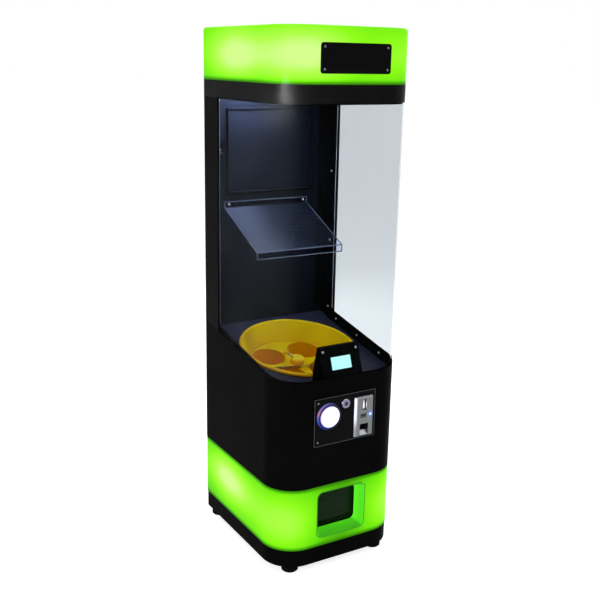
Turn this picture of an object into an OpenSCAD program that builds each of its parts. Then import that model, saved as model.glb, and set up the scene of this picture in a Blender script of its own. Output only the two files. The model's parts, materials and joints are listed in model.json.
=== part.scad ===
// Capsule toy vendor: a floor-standing cabinet with lit green bands, a wrap-round window,
// a sloping deck with a yellow hopper, a motor-driven capsule wheel and a prize door.
// Millimetres, +Z up, front towards -Y. Origin on the floor under the middle of the cabinet.

/* [Cabinet] */
// Width of the cabinet
cab_w = 440; // [400:5:500]
// Depth of the cabinet, front face to back face
cab_d = 500; // [470:5:540]
// Radius of the two front corners
corner_r = 100; // [80:5:110]
// Thickness of the black sheet steel
sheet = 2; // [1.5:0.5:2.5]
// Height of the round feet
foot_h = 25; // [15:1:35]
// Radius of the round feet
foot_r = 26; // [18:1:28]
// Height of the black plinth
plinth_h = 55; // [45:1:65]
// Height of the lower lit band
band_h = 200; // [190:1:210]
// Height of the body's top edge at the front, above the floor
edge_front = 617; // [607:1:627]
// Rise of the body's top edge towards the back, in degrees
edge_tilt = 8.5; // [7:0.5:10]
// Height of the window's visible top edge, above the floor
window_top = 1405; // [1380:5:1430]
// Height of the black band above the window
head_h = 50; // [45:1:60]
// Height of the lit box on top
box_h = 153; // [140:1:165]
// Rounding of the lit box's top edge
box_fillet = 10; // [9:1:16]
// Thickness of the clear and green acrylic
acrylic = 4; // [3:0.5:5]
// Depth of the black rear posts beside the window
post_d = 93; // [80:1:105]

/* [Deck and hopper] */
// Height of the deck's top face in the middle of the cabinet
deck_mid = 623; // [620:1:626]
// Tilt of the deck, down towards the front, in degrees
deck_tilt = 10.5; // [9:0.5:12]
// Thickness of the deck plate
deck_t = 3; // [2:0.5:4]
// Outer radius of the hopper's rolled rim
rim_r = 192; // [186:1:194]
// Height of the rim above the deck
rim_h = 11; // [10:1:12]
// Distance of the hopper's axis behind the cabinet's middle
bowl_y = 21; // [18:1:23]
// Depth from the rim to the top of the capsule wheel
bowl_depth = 64; // [58:1:70]
// Inner radius of the hopper at the capsule wheel
floor_r = 157; // [155:1:160]
// Height of the capsule wheel
wheel_h = 88; // [80:1:90]
// Number of capsule pockets in the wheel
pocket_count = 4; // [3:1:4]
// Radius of a capsule pocket
pocket_r = 55; // [50:1:55]
// Radius of the circle through the pockets' centres
pocket_circle = 95; // [93:1:95]
// Angle of the first pocket at rest
pocket_start = 48; // [46:1:50]

/* [Front panel] */
// Width of the control plate
panel_w = 215; // [205:1:220]
// Height of the control plate
panel_h = 149; // [145:1:160]
// Height of the control plate's lower edge above the floor
panel_z = 413; // [408:1:418]
// Start button's place on the panel, from the cabinet's middle
button_x = -58; // [-60:1:-54]
// Height of the start button's middle above the floor
button_z = 504; // [500:1:508]
// Radius of the start button's bezel
bezel_r = 41; // [38:1:42]
// Radius of the start button's dome
dome_r = 32.5; // [31:0.5:33]
// Travel of the start button
button_travel = 4; // [3:0.5:4]
// Height of the key switch's middle above the floor
key_z = 534; // [532:1:538]
// Coin mechanism's place on the panel, from the cabinet's middle
coin_x = 63; // [61:1:65]
// Height of the coin mechanism's middle above the floor
coin_z = 483; // [481:1:485]
// Width of the coin mechanism's face
coin_w = 66; // [64:1:68]
// Height of the coin mechanism's face
coin_h = 127; // [124:1:130]

/* [Prize pocket] */
// Width of the pocket's mouth
mouth_w = 176; // [166:1:180]
// Height of the pocket's mouth
mouth_h = 154; // [146:1:156]
// Height of the mouth's lower edge above the floor
mouth_z = 105; // [102:1:108]
// Width of the door opening at the back of the pocket
door_w = 146; // [136:1:148]
// Height of the door opening
door_h = 120; // [110:1:121]
// Depth of the pocket
pocket_d = 40; // [34:1:44]
// Corner radius of the mouth
mouth_r = 20; // [14:1:24]
// Corner radius of the door opening
door_r = 18; // [10:1:20]

/* [Sign and shelf] */
// Width of the sign plate
sign_w = 226; // [200:1:232]
// Height of the sign plate
sign_h = 80.5; // [70:0.5:90]
// Height of the sign plate's lower edge above the floor
sign_z = 1483.5; // [1478:0.5:1490]
// Width of the clear ramp shelf
shelf_w = 305; // [280:5:320]
// Reach of the shelf from the back panel
shelf_reach = 227; // [200:1:235]
// Height of the shelf's back flange, lower bend, above the floor
shelf_z = 1056; // [1050:1:1062]
// Fall of the shelf's ramp, in degrees
shelf_fall = 25; // [20:1:28]

/* [Hidden] */
$fn = 96;
big = 4000;
gap = 0.2;
half_w = cab_w / 2;
front_y = -cab_d / 2;
back_y = cab_d / 2;
post_y = back_y - post_d;
band_z = foot_h + plinth_h;
body_z = band_z + band_h;
box_z = window_top + head_h;
floor_t = 2;
plinth_floor = 3;
frame_in = 34;
glass_in = sheet + gap;
clamp_in = glass_in + acrylic + gap;
glass_tuck = 20;
panel_y0 = back_y - 2.2;
panel_half = half_w - sheet - gap;

// Hopper levels, measured along the deck's normal from the deck's top face
wheel_top = rim_h - bowl_depth;
wheel_bot = wheel_top - wheel_h;
plate_top = wheel_bot - 8;
plate_bot = plate_top - 4;
rim_roll = 6;
bowl_t = 3;
wall_top_r = rim_r - 2 * rim_roll;
wall_low_r = floor_r + 2;
wall_low = wheel_top + 4;
wall_slope = (wall_top_r - wall_low_r) / (rim_h - rim_roll - wall_low);
flange_r = floor_r + 12;
wheel_r = floor_r - 4;
shaft_r = 6;
run = 0.05;
motor_top = plate_bot - 22;
exit_r = pocket_r + 2;

// Prize door levels
door_z = mouth_z + (mouth_h - door_h) / 2 - 3;
bin_y0 = front_y + pocket_d + gap;
bin_y1 = front_y + 188;
bin_half = door_w / 2 + 9;
bin_top = body_z;
pin_z = door_z + door_h + 6;
pin_y = bin_y0 + 7;
pin_r = 2;

// Rear doors
opening_half = 170;
restock_z = [1095, 1375];
service_z = [300, 560];
lap = 12;
hinge_x = opening_half + 18;
hinge_y = back_y + 6.5;
hinge_r = 5;
lock_x = -opening_half + 12;

inlet = [134, 174];

plate_y = front_y - 4;

// Height of the window's lower clamp strip above the deck: level with the body's edge at the front
clamp_h = (edge_front - deck_height(front_y)) * cos(deck_tilt);

// Places on the coin mechanism's face, from its upper left corner, and sizes across and up
coin_left = coin_x - coin_w / 2;
coin_top = coin_z + coin_h / 2;
coin_proud = 10;
slot_x = coin_left + 36;
slot_z = coin_top - 42;
slot_size = [3.5, 34];
reject_at = [coin_left + 19, coin_top - 66];
reject_size = [22, 14];
led_at = [coin_left + 55, coin_top - 58];
led_r = 2.5;
cup_at = [coin_left + 18, coin_top - coin_h + 5];
cup_size = [30, 36];

// Display on the front of the deck
display_lean = 20;
display_y = front_y + clamp_in + sheet + 1;
display_low = deck_height(front_y);
display_z = edge_front - 6;
display_top = 702;
display_top_y = display_y + (display_top - display_z) * tan(display_lean);
display_rear = display_y + 66;
lcd_w = 69;
lcd_h = 38;
lcd_mid = 45;
display_half = 68;
display_screw = [58, 83];
screw_inset = 13;

function deck_height(y) = deck_mid + y * tan(deck_tilt);
function edge_height(y) = edge_front + (y - front_y) * tan(edge_tilt);

// Footprint of the cabinet, drawn in by inset: round front corners, square back corners
module footprint(inset = 0) {
    r = corner_r - inset;
    cx = half_w - corner_r;
    cy = front_y + corner_r;
    union() {
        translate([-half_w + inset, cy])
            square([cab_w - 2 * inset, cab_d - corner_r - inset]);
        translate([-cx, front_y + inset])
            square([2 * cx, corner_r]);
        for (side = [-1, 1])
            translate([side * cx, cy])
                circle(r);
    }
}

// Bent sheet round the left side, the front and the right side, open at the back
module wrap(inset, t, rear) {
    difference() {
        footprint(inset);
        footprint(inset + t);
        translate([-half_w + inset + t, 0])
            square([cab_w - 2 * (inset + t), cab_d]);
        translate([-cab_w, rear])
            square([2 * cab_w, cab_d]);
    }
}

module wrap_wall(inset, t, rear, z0, z1) {
    translate([0, 0, z0])
        linear_extrude(z1 - z0)
            wrap(inset, t, rear);
}

// Half-space above a plane that rises towards the back
module above(z_front, tilt, lift = 0) {
    translate([0, front_y, z_front])
        rotate([tilt, 0, 0])
            translate([-big / 2, -big / 2, lift])
                cube(big);
}

module above_edge(lift) {
    above(edge_front, edge_tilt, lift);
}

module above_deck(lift) {
    above(deck_height(front_y), deck_tilt, lift);
}

// Places a piece in the hopper's frame: origin on the deck, Z along the deck's normal
module on_deck() {
    translate([0, bowl_y, deck_height(bowl_y)])
        rotate([deck_tilt, 0, 0])
            children();
}

module rounded_rect(w, h, r) {
    union() {
        square([w - 2 * r, h], center = true);
        square([w, h - 2 * r], center = true);
        for (sx = [-1, 1], sz = [-1, 1])
            translate([sx * (w / 2 - r), sz * (h / 2 - r)])
                circle(r);
    }
}

// Upright slab with a rounded-rectangle face: from y forwards by t towards the front
module front_slab(w, h, r, t, x, y, z) {
    translate([x, y, z])
        rotate([90, 0, 0])
            linear_extrude(t)
                rounded_rect(w, h, r);
}

// Round bar along Y, from y0 to y1
module bar_y(r, x, z, y0, y1) {
    translate([x, y1, z])
        rotate([90, 0, 0])
            cylinder(r = r, h = y1 - y0);
}

module screw_head(r = 3.5) {
    rotate_extrude()
        polygon([[0, 0], [r, 0], [r, 0.8], [r * 0.7, 1.8], [0, 2.2]]);
}

// Screw on a face that looks towards the front
module front_screw(x, y, z) {
    translate([x, y, z])
        rotate([90, 0, 0])
            screw_head();
}

// Screw on the inner face of a side strip, looking towards the cabinet's middle
module side_screw(side, x, y, z) {
    translate([side * x, y, z])
        rotate([0, -90 * side, 0])
            screw_head();
}

module corner_screws(w, h, x, y, z, inset) {
    for (sx = [-1, 1], sz = [-1, 1])
        front_screw(x + sx * (w / 2 - inset), y, z + sz * (h / 2 - inset));
}

module feet() {
    profile = [
        [0, 0], [foot_r - 3, 0], [foot_r, 3], [foot_r, foot_h - 7],
        [foot_r - 5, foot_h - 4], [foot_r - 5, foot_h], [0, foot_h]
    ];
    color([0.05, 0.05, 0.05])
        for (side = [-1, 1], end = [[66, front_y + 45], [34, back_y - 28]])
            translate([side * (half_w - end[0]), end[1], 0])
                rotate_extrude()
                    polygon(profile);
}

module plinth() {
    color([0.06, 0.06, 0.065])
        translate([0, 0, foot_h])
            difference() {
                linear_extrude(plinth_h)
                    footprint(2);
                translate([0, 0, plinth_floor])
                    linear_extrude(plinth_h)
                        footprint(2 + sheet);
            }
}

// Inner white wall behind the lower lit band, standing in the plinth; it carries the body and the strips
module lower_frame() {
    color([0.85, 0.86, 0.84])
        difference() {
            wrap_wall(frame_in, sheet, back_y - 6, foot_h + plinth_floor, body_z);
            translate([-mouth_w / 2, front_y, mouth_z - 4])
                cube([mouth_w, 60, mouth_h + 8]);
        }
}

// One light strip: board with a row of square emitters, along X from the middle, facing up
module led_strip(length, pitch = 32) {
    count = floor(length / pitch);
    union() {
        translate([-length / 2, -6, 0])
            cube([length, 12, 1.6]);
        for (i = [0:count - 1])
            translate([(i - (count - 1) / 2) * pitch - 2.5, -2.5, 1.6])
                cube([5, 5, 1.4]);
    }
}

module lower_led_strips() {
    side_x = half_w - frame_in;
    color([0.95, 0.95, 0.9]) {
        for (side = [-1, 1], z = [band_z + 50, body_z - 50])
            translate([side * side_x, 60, z])
                rotate([0, side * 90, 0])
                    rotate([0, 0, 90])
                        led_strip(340);
        for (side = [-1, 1])
            translate([side * 103, front_y + frame_in, band_z + 100])
                rotate([90, 0, 0])
                    rotate([0, 0, 90])
                        led_strip(150);
    }
}

module lower_light_band() {
    color([0.42, 0.95, 0.08])
        difference() {
            wrap_wall(0, acrylic, back_y - 2.5, band_z, body_z);
            front_slab(mouth_w, mouth_h, mouth_r, 30, 0, front_y + 15, mouth_z + mouth_h / 2);
        }
}

// Tapered green frame that leads the hand from the band's face to the prize door
module prize_surround() {
    wall = 3;
    mid = mouth_z + mouth_h / 2;
    back_mid = door_z + door_h / 2;
    color([0.36, 0.85, 0.07])
        difference() {
            hull() {
                front_slab(mouth_w - 0.4, mouth_h - 0.4, mouth_r, 1, 0, front_y + 1, mid, $fn = 32);
                front_slab(door_w + 2 * wall, door_h + 2 * wall, door_r + wall, 1,
                           0, front_y + pocket_d, back_mid, $fn = 32);
            }
            hull() {
                front_slab(mouth_w - 2 * wall, mouth_h - 2 * wall, mouth_r - wall, 1, 0, front_y, mid, $fn = 32);
                front_slab(door_w, door_h, door_r, 1, 0, front_y + pocket_d + 1, back_mid, $fn = 32);
            }
        }
}

// Steel bin behind the prize door, open at the top, with a floor that falls to the front
module prize_bin() {
    t = 1.5;
    floor_front = door_z - 10;
    floor_back = floor_front + 20;
    color([0.10, 0.10, 0.11])
        difference() {
            union() {
                for (side = [-1, 1])
                    translate([side * bin_half - t / 2, bin_y0, floor_front - 6])
                        cube([t, bin_y1 - bin_y0, bin_top - floor_front + 6]);
                translate([-bin_half, bin_y1 - t, floor_front - 6])
                    cube([2 * bin_half, t, bin_top - floor_front + 6]);
                translate([-bin_half, bin_y0, floor_front - 6])
                    cube([2 * bin_half, t, bin_top - floor_front + 6]);
                translate([-bin_half, 0, 0])
                    rotate([90, 0, 90])
                        linear_extrude(2 * bin_half)
                            polygon([
                                [bin_y0, floor_front - 2], [bin_y1, floor_back - 2],
                                [bin_y1, floor_back], [bin_y0, floor_front]
                            ]);
            }
            front_slab(door_w, door_h, door_r, 20, 0, bin_y0 + 10, door_z + door_h / 2);
            translate([-big / 2, pin_y, pin_z])
                rotate([0, 90, 0])
                    cylinder(r = pin_r + run, h = big);
        }
}

// Smoked flap that hangs on its pin inside the opening and swings inwards
module prize_door() {
    w = door_w + 6;
    y0 = bin_y0 + 3;
    low = door_z - 3;
    color([0.12, 0.13, 0.13, 0.7])
        difference() {
            union() {
                front_slab(w, pin_z - 3 - low, 9, acrylic, 0, y0 + acrylic, (pin_z - 3 + low) / 2);
                translate([-w / 2 + 10, y0, pin_z - 8])
                    cube([w - 20, acrylic, 9]);
                translate([-w / 2 + 10, pin_y, pin_z])
                    rotate([0, 90, 0])
                        cylinder(r = 4.5, h = w - 20);
            }
            translate([-w, pin_y, pin_z])
                rotate([0, 90, 0])
                    cylinder(r = pin_r + run, h = 2 * w);
        }
}

module prize_door_pin() {
    color("silver")
        translate([-bin_half - 3, pin_y, pin_z])
            rotate([0, 90, 0])
                cylinder(r = pin_r, h = 2 * bin_half + 6);
}

// Steel floor between the lit band and the body, with the hole the capsule falls through
module body_floor() {
    color([0.08, 0.08, 0.085])
        difference() {
            translate([0, 0, body_z])
                linear_extrude(floor_t)
                    difference() {
                        footprint(sheet + gap);
                        translate([-bin_half + 4, bin_y0 + 3])
                            square([2 * bin_half - 8, bin_y1 - bin_y0 - 6]);
                        translate([-cab_w, back_y - 3])
                            square([2 * cab_w, 20]);
                    }
            for (side = [-1, 1])
                translate([side * 150, 190, 0])
                    cylinder(r = 15, h = big);
        }
}

// Holes that the start button, the key switch and the coin mechanism pass through
module panel_holes() {
    bar_y(31, button_x, button_z, front_y - 10, front_y + 10);
    bar_y(11, 0, key_z, front_y - 10, front_y + 10);
    translate([coin_x - coin_w / 2 + 4, front_y - 10, coin_z - coin_h / 2 + 4])
        cube([coin_w - 8, 20, coin_h - 8]);
}

// Bent front and sides of the lower body, cut to the sloping edge under the window
module body_shell() {
    color([0.06, 0.06, 0.065])
        difference() {
            wrap_wall(0, sheet, back_y, body_z, edge_height(back_y) + 20);
            above_edge(0);
            panel_holes();
        }
}

// Sheet steel post beside the window: side plate with a folded flange for the back panel
module post(side) {
    flange_y = panel_y0 - sheet;
    difference() {
        union() {
            translate([side > 0 ? half_w - sheet : -half_w, post_y, body_z])
                cube([sheet, post_d, window_top - body_z]);
            translate([side > 0 ? half_w - 26 : -half_w, flange_y - gap, body_z])
                cube([26, sheet, window_top - body_z]);
        }
        difference() {
            translate([-big / 2, -big / 2, 0])
                cube([big, big, window_top]);
            above_edge(0);
        }
    }
}

module left_post() {
    color([0.06, 0.06, 0.065])
        post(-1);
}

module right_post() {
    color([0.06, 0.06, 0.065])
        post(1);
}

// One clear sheet bent round both front corners; its edges tuck behind the steel
module window() {
    color([0.85, 0.92, 0.95, 0.25])
        intersection() {
            wrap_wall(glass_in, acrylic, post_y + glass_tuck, edge_front - 60, window_top + 25);
            above_edge(-glass_tuck);
        }
}

// Inner strips that clamp the window: along the bottom edge, the rear edges and the top edge
module window_clamps() {
    strip_x = half_w - clamp_in - sheet;
    rear_low = edge_height(post_y) + 16;
    color([0.07, 0.07, 0.075]) {
        difference() {
            intersection() {
                wrap_wall(clamp_in, sheet, post_y + 38, edge_front - 80, edge_height(back_y) + 40);
                above_deck(gap);
            }
            above_deck(clamp_h);
        }
        for (side = [-1, 1])
            translate([side > 0 ? strip_x : -strip_x - sheet, post_y + 2, rear_low])
                cube([sheet, 36, window_top - 5 - rear_low]);
        wrap_wall(clamp_in, sheet, post_y + 38, window_top - 4, window_top + 25);
    }
}

// Round-headed screws: clamp strips, sign plate, shelf, control plate and display
module face_screws() {
    strip_x = half_w - clamp_in - sheet;
    color("silver") {
        for (side = [-1, 1]) {
            for (y = [-120, 7, 134])
                side_screw(side, strip_x, y, deck_height(y) + clamp_h / 2);
            for (z = [700, 932, 1164, 1380])
                side_screw(side, strip_x, post_y + 30, z);
            front_screw(side * (shelf_w / 2 - 15), panel_y0 - 3, shelf_z + 10);
        }
        corner_screws(sign_w, sign_h, 0, plate_y, sign_z + sign_h / 2, 11);
        for (z = [panel_z + screw_inset, panel_z + panel_h - screw_inset])
            front_screw(-panel_w / 2 + screw_inset, plate_y, z);
        on_display()
            for (side = [-1, 1])
                front_screw(side * display_screw[0], 0, display_screw[1]);
    }
}

module upper_band() {
    color([0.06, 0.06, 0.065])
        wrap_wall(0, sheet, back_y, window_top, box_z);
}

// Ceiling of the display space and base of the lit box
module ceiling_plate() {
    color([0.08, 0.08, 0.085])
        translate([0, 0, window_top + 28])
            linear_extrude(3)
                difference() {
                    footprint(sheet + gap);
                    translate([-cab_w, back_y - 3])
                        square([2 * cab_w, 20]);
                }
}

// Lamp bar under the ceiling that lights the capsules
module ceiling_light() {
    color([0.9, 0.95, 1.0])
        translate([0, front_y + 70, window_top + 28])
            rotate([180, 0, 0]) {
                translate([-120, -10, 0])
                    cube([240, 20, 6]);
                translate([0, 0, 6])
                    led_strip(230);
            }
}

module top_led_strips() {
    color([0.95, 0.95, 0.9])
        for (y = [-150, 0, 150])
            translate([0, y, window_top + 31])
                led_strip(320);
}

// Solid of the lit box drawn in by inset, with its top edge rounded by stacked outlines
module box_form(inset, z0, z1) {
    steps = 4;
    slice = 0.5;
    hull() {
        translate([0, 0, z0])
            linear_extrude(slice)
                footprint(inset, $fn = 96);
        for (i = [0:steps])
            translate([0, 0, z1 - box_fillet * (1 - sin(90 * i / steps)) - slice])
                linear_extrude(slice)
                    footprint(inset + box_fillet * (1 - cos(90 * i / steps)), $fn = 96);
    }
}

// Green lit box on top, open underneath
module top_light_box() {
    color([0.42, 0.95, 0.08])
        difference() {
            box_form(0, box_z, box_z + box_h);
            box_form(acrylic, box_z - 2, box_z + box_h - acrylic);
        }
}

module sign_plate() {
    color([0.03, 0.03, 0.035])
        front_slab(sign_w, sign_h, 8, 4, 0, front_y, sign_z + sign_h / 2);
}

// Clear ramp on the back panel: flange, ramp down to the front, turned-down lip
module ramp_shelf() {
    t = 3;
    lip = 24;
    y1 = panel_y0;
    y0 = y1 - shelf_reach;
    fall = (shelf_reach - t) * tan(shelf_fall);
    color([0.85, 0.92, 0.95, 0.3])
        translate([-shelf_w / 2, 0, 0])
            rotate([90, 0, 90])
                linear_extrude(shelf_w)
                    polygon([
                        [y1, shelf_z + 19], [y1 - t, shelf_z + 19], [y1 - t, shelf_z],
                        [y0, shelf_z - fall], [y0, shelf_z - fall - lip],
                        [y0 + t, shelf_z - fall - lip], [y0 + t, shelf_z - fall - t / 2],
                        [y1, shelf_z - t]
                    ]);
}

// Fixed sheet at the back, with the restocking and the service openings and the power inlet
module back_panel() {
    color([0.07, 0.07, 0.075])
        difference() {
            translate([-panel_half, panel_y0, band_z])
                cube([2 * panel_half, sheet, box_z - 2 - band_z]);
            for (z = [restock_z, service_z])
                translate([-opening_half, panel_y0 - 5, z[0]])
                    cube([2 * opening_half, 20, z[1] - z[0]]);
            for (i = [0:5])
                translate([-60, panel_y0 - 5, 600 + 8 * i])
                    cube([120, 20, 4]);
            translate([inlet[0] - 24, panel_y0 - 5, inlet[1] - 14])
                cube([48, 20, 28]);
        }
}

// Appliance inlet: flange outside the back panel, body inside, socket with three blades
module power_inlet() {
    at = [inlet[0], back_y - gap, inlet[1]];
    color([0.05, 0.05, 0.05])
        translate(at)
            union() {
                difference() {
                    union() {
                        translate([-30, 0, -16])
                            cube([60, 2.5, 32]);
                        translate([-23.5, -22, -13.5])
                            cube([47, 23, 27]);
                    }
                    translate([-12.5, -16, -9])
                        cube([25, 30, 18]);
                }
                for (x = [-7, 0, 7])
                    translate([x - 1, -18, x == 0 ? 2 : -4])
                        cube([2, 16, 4]);
            }
}

// Middle knuckles of a rear door's two hinges, with the web to the door sheet
module door_knuckles(z) {
    for (at = [z[0] + 50, z[1] - 50])
        difference() {
            union() {
                translate([hinge_x, hinge_y, at - 10])
                    cylinder(r = hinge_r, h = 20);
                translate([opening_half - 10, back_y + 0.3, at - 10])
                    cube([hinge_x - opening_half + 10, 3, 20]);
            }
            translate([hinge_x, hinge_y, at - 20])
                cylinder(r = 2.5 + run, h = 40);
        }
}

// Sheet door over an opening of the back panel, with a folded rim and two hinge knuckles
module rear_door(z, slots) {
    low = z[0] - lap;
    high = z[1] + lap;
    mid = (z[0] + z[1]) / 2;
    rim = 14;
    difference() {
        union() {
            translate([-opening_half - lap, back_y + 0.3, low])
                cube([2 * opening_half + lap + 6, sheet, high - low]);
            difference() {
                translate([-opening_half + 26, back_y - rim, z[0] + 8])
                    cube([2 * opening_half - 40, rim + 1, z[1] - z[0] - 16]);
                translate([-opening_half + 28, back_y - rim - 1, z[0] + 10])
                    cube([2 * opening_half - 44, rim + 1.3, z[1] - z[0] - 20]);
            }
            door_knuckles(z);
        }
        bar_y(9.05, lock_x, mid, back_y - 30, back_y + 30);
        for (i = [0:1:slots - 1])
            translate([-60, back_y - 5, mid - 5 * slots + 10 * i])
                cube([120, 20, 5]);
    }
}

module restock_door() {
    color([0.07, 0.07, 0.075])
        rear_door(restock_z, 0);
}

module service_door() {
    color([0.07, 0.07, 0.075])
        rear_door(service_z, 8);
}

// Fixed leaves of a rear door's hinges, each with its two outer knuckles and the pin
module door_hinges(z) {
    for (at = [z[0] + 50, z[1] - 50])
        union() {
            translate([hinge_x + 4, back_y - gap, at - 30])
                cube([panel_half - hinge_x - 5, 2, 60]);
            translate([hinge_x, hinge_y, at - 30])
                cylinder(r = 2.5, h = 60);
            for (end = [at - 30, at + 10.3])
                translate([hinge_x, hinge_y, end])
                    cylinder(r = hinge_r, h = 19.7);
            for (end = [at - 30, at + 10.3])
                translate([hinge_x, back_y - gap, end])
                    cube([6, 4, 19.7]);
        }
}

module restock_hinges() {
    color("dimgray")
        door_hinges(restock_z);
}

module service_hinges() {
    color("dimgray")
        door_hinges(service_z);
}

// Barrel and round head of a rear door's cam lock
module cam_lock(z) {
    mid = (z[0] + z[1]) / 2;
    face = back_y + 0.3 + sheet;
    difference() {
        union() {
            bar_y(9, lock_x, mid, back_y - 4, face);
            bar_y(11, lock_x, mid, face, face + 4);
        }
        bar_y(6 + run, lock_x, mid, back_y - 30, back_y + 30);
    }
}

// Turning plug with its keyway, and the cam that swings behind the back panel
module cam_plug(z) {
    mid = (z[0] + z[1]) / 2;
    face = back_y + 0.3 + sheet + 4;
    cam_y = back_y - 7;
    difference() {
        union() {
            bar_y(6, lock_x, mid, cam_y, face);
            translate([lock_x - 6, cam_y - 2, mid - 6])
                cube([12, 2, 38]);
        }
        translate([lock_x - 0.8, face - 8, mid - 4])
            cube([1.6, 20, 8]);
    }
}

module restock_lock() {
    color("silver")
        cam_lock(restock_z);
}

module restock_lock_plug() {
    color("gray")
        cam_plug(restock_z);
}

module service_lock() {
    color("silver")
        cam_lock(service_z);
}

module service_lock_plug() {
    color("gray")
        cam_plug(service_z);
}

// Sloping plate inside the body with the round hole that the hopper hangs in
module deck_plate() {
    color([0.09, 0.10, 0.13])
        difference() {
            intersection() {
                translate([0, 0, deck_height(front_y) - 40])
                    linear_extrude(deck_height(back_y) - deck_height(front_y) + 80)
                        difference() {
                            footprint(sheet + gap);
                            translate([-cab_w, back_y - 5])
                                square([2 * cab_w, 20]);
                        }
                above_deck(-deck_t);
            }
            above_deck(0);
            on_deck()
                translate([0, 0, -50])
                    cylinder(r = wall_top_r + bowl_t - 0.5, h = 100);
        }
}

// Yellow hopper: rolled rim on the deck, tapered wall, straight pan round the wheel, foot flange
module hopper_bowl() {
    seat = -asin((rim_h - rim_roll) / rim_roll);
    roll = [for (i = [0:12]) let (a = seat + (180 - seat) * i / 12)
        [rim_r - rim_roll + rim_roll * cos(a), rim_h - rim_roll + rim_roll * sin(a)]];
    wall_deck_r = wall_top_r - (rim_h - rim_roll) * wall_slope + bowl_t / cos(atan(wall_slope));
    profile = concat(
        roll,
        [
            [wall_low_r, wall_low], [floor_r, wheel_top],
            [floor_r, plate_top], [flange_r, plate_top], [flange_r, plate_top + bowl_t],
            [floor_r + bowl_t, plate_top + bowl_t], [floor_r + bowl_t, wheel_top - 1],
            [wall_deck_r, 0]
        ]
    );
    color([0.98, 0.74, 0.03])
        on_deck()
            rotate_extrude()
                polygon(profile);
}

// Fixed plate under the wheel that carries the capsules, with the one hole they fall through
module wheel_base_plate() {
    color([0.95, 0.70, 0.05])
        on_deck()
            translate([0, 0, plate_bot])
                difference() {
                    cylinder(r = flange_r, h = plate_top - plate_bot);
                    translate([0, -pocket_circle, -5])
                        cylinder(r = exit_r, h = 20);
                    translate([0, 0, -5])
                        cylinder(r = shaft_r + 3, h = 20);
                }
}

module at_pockets() {
    for (i = [0:pocket_count - 1])
        rotate([0, 0, pocket_start + i * 360 / pocket_count])
            translate([pocket_circle, 0, 0])
                children();
}

// Wheel with a round tube for each capsule, a hub, an outer skirt and ribs between the pockets
module capsule_wheel() {
    deck = 4;
    skirt = 22;
    tube_t = 2.5;
    hub_r = 16;
    rib = 3;
    color([0.98, 0.70, 0.04])
        on_deck()
            translate([0, 0, wheel_bot])
                difference() {
                    union() {
                        translate([0, 0, wheel_h - deck])
                            cylinder(r = wheel_r, h = deck);
                        difference() {
                            translate([0, 0, wheel_h - skirt])
                                cylinder(r = wheel_r, h = skirt - 2);
                            translate([0, 0, -5])
                                cylinder(r = wheel_r - tube_t, h = wheel_h);
                        }
                        at_pockets()
                            cylinder(r = pocket_r + tube_t, h = wheel_h - 1);
                        cylinder(r = hub_r, h = wheel_h - 1);
                        for (i = [0:pocket_count - 1])
                            rotate([0, 0, pocket_start + (i + 0.5) * 360 / pocket_count])
                                translate([0, -rib / 2, wheel_h - skirt])
                                    cube([wheel_r - 1, rib, skirt - 2]);
                    }
                    at_pockets()
                        translate([0, 0, -5])
                            cylinder(r = pocket_r, h = wheel_h + 20);
                    translate([0, 0, -5])
                        cylinder(r = shaft_r + run, h = wheel_h);
                }
}

// Rounded cap over the hub
module hub_cap() {
    r = 23;
    h = 24;
    edge = 14;
    arc = [for (a = [0:15:90]) [r - edge + edge * cos(a), h - edge + edge * sin(a)]];
    color([0.99, 0.78, 0.10])
        on_deck()
            translate([0, 0, wheel_top])
                difference() {
                    rotate_extrude()
                        polygon(concat([[0, 0], [r, 0]], arc, [[0, h]]));
                    agitator_line()
                        cylinder(r = 3, h = 60);
                }
}

// Line of the stirring rod, from inside the hub cap out and up to the left
module agitator_line() {
    translate([-6, 1, 12])
        rotate([0, -52, -14])
            children();
}

module agitator_rod() {
    color("silver")
        on_deck()
            translate([0, 0, wheel_top])
                agitator_line()
                    translate([0, 0, 1])
                        cylinder(r = 3, h = 42);
}

module agitator_knob() {
    color([0.99, 0.76, 0.08])
        on_deck()
            translate([0, 0, wheel_top])
                difference() {
                    agitator_line()
                        translate([0, 0, 46])
                            sphere(r = 9);
                    agitator_line()
                        cylinder(r = 3, h = 43);
                }
}

module wheel_shaft() {
    color("silver")
        on_deck()
            translate([0, 0, motor_top - 14])
                cylinder(r = shaft_r, h = wheel_top - 6 - motor_top + 14);
}

// Steel bar above the exit that keeps a second capsule from following the first, with a foot at each wall
module stripper_bar() {
    low = wheel_top + 6;
    bar = [3, 10];
    behind_exit = 49;
    turn = -10;
    foot = [20, 24];
    reach = 40;
    color("silver")
        on_deck()
            intersection() {
                rotate([0, 0, turn])
                    union() {
                        translate([-rim_r, -behind_exit, low])
                            cube([2 * rim_r, bar[0], bar[1]]);
                        for (side = [-1, 1])
                            translate([side * (floor_r - 8) - foot[0] / 2, -behind_exit - foot[1] / 2, low])
                                cube([foot[0], foot[1], bar[1]]);
                    }
                translate([0, 0, wall_low])
                    cylinder(r1 = wall_low_r - gap, r2 = wall_low_r - gap + reach * wall_slope, h = reach);
            }
}

// Plate and four spacers that carry the motor under the base plate
module motor_bracket() {
    color("gray")
        on_deck()
            difference() {
                union() {
                    translate([0, 0, motor_top])
                        cylinder(r = 42, h = 3);
                    for (a = [45:90:315])
                        rotate([0, 0, a])
                            translate([35, 0, motor_top])
                                cylinder(r = 4, h = plate_bot - motor_top);
                }
                translate([0, 0, motor_top - 5])
                    cylinder(r = shaft_r + 6, h = 40);
            }
}

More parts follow.
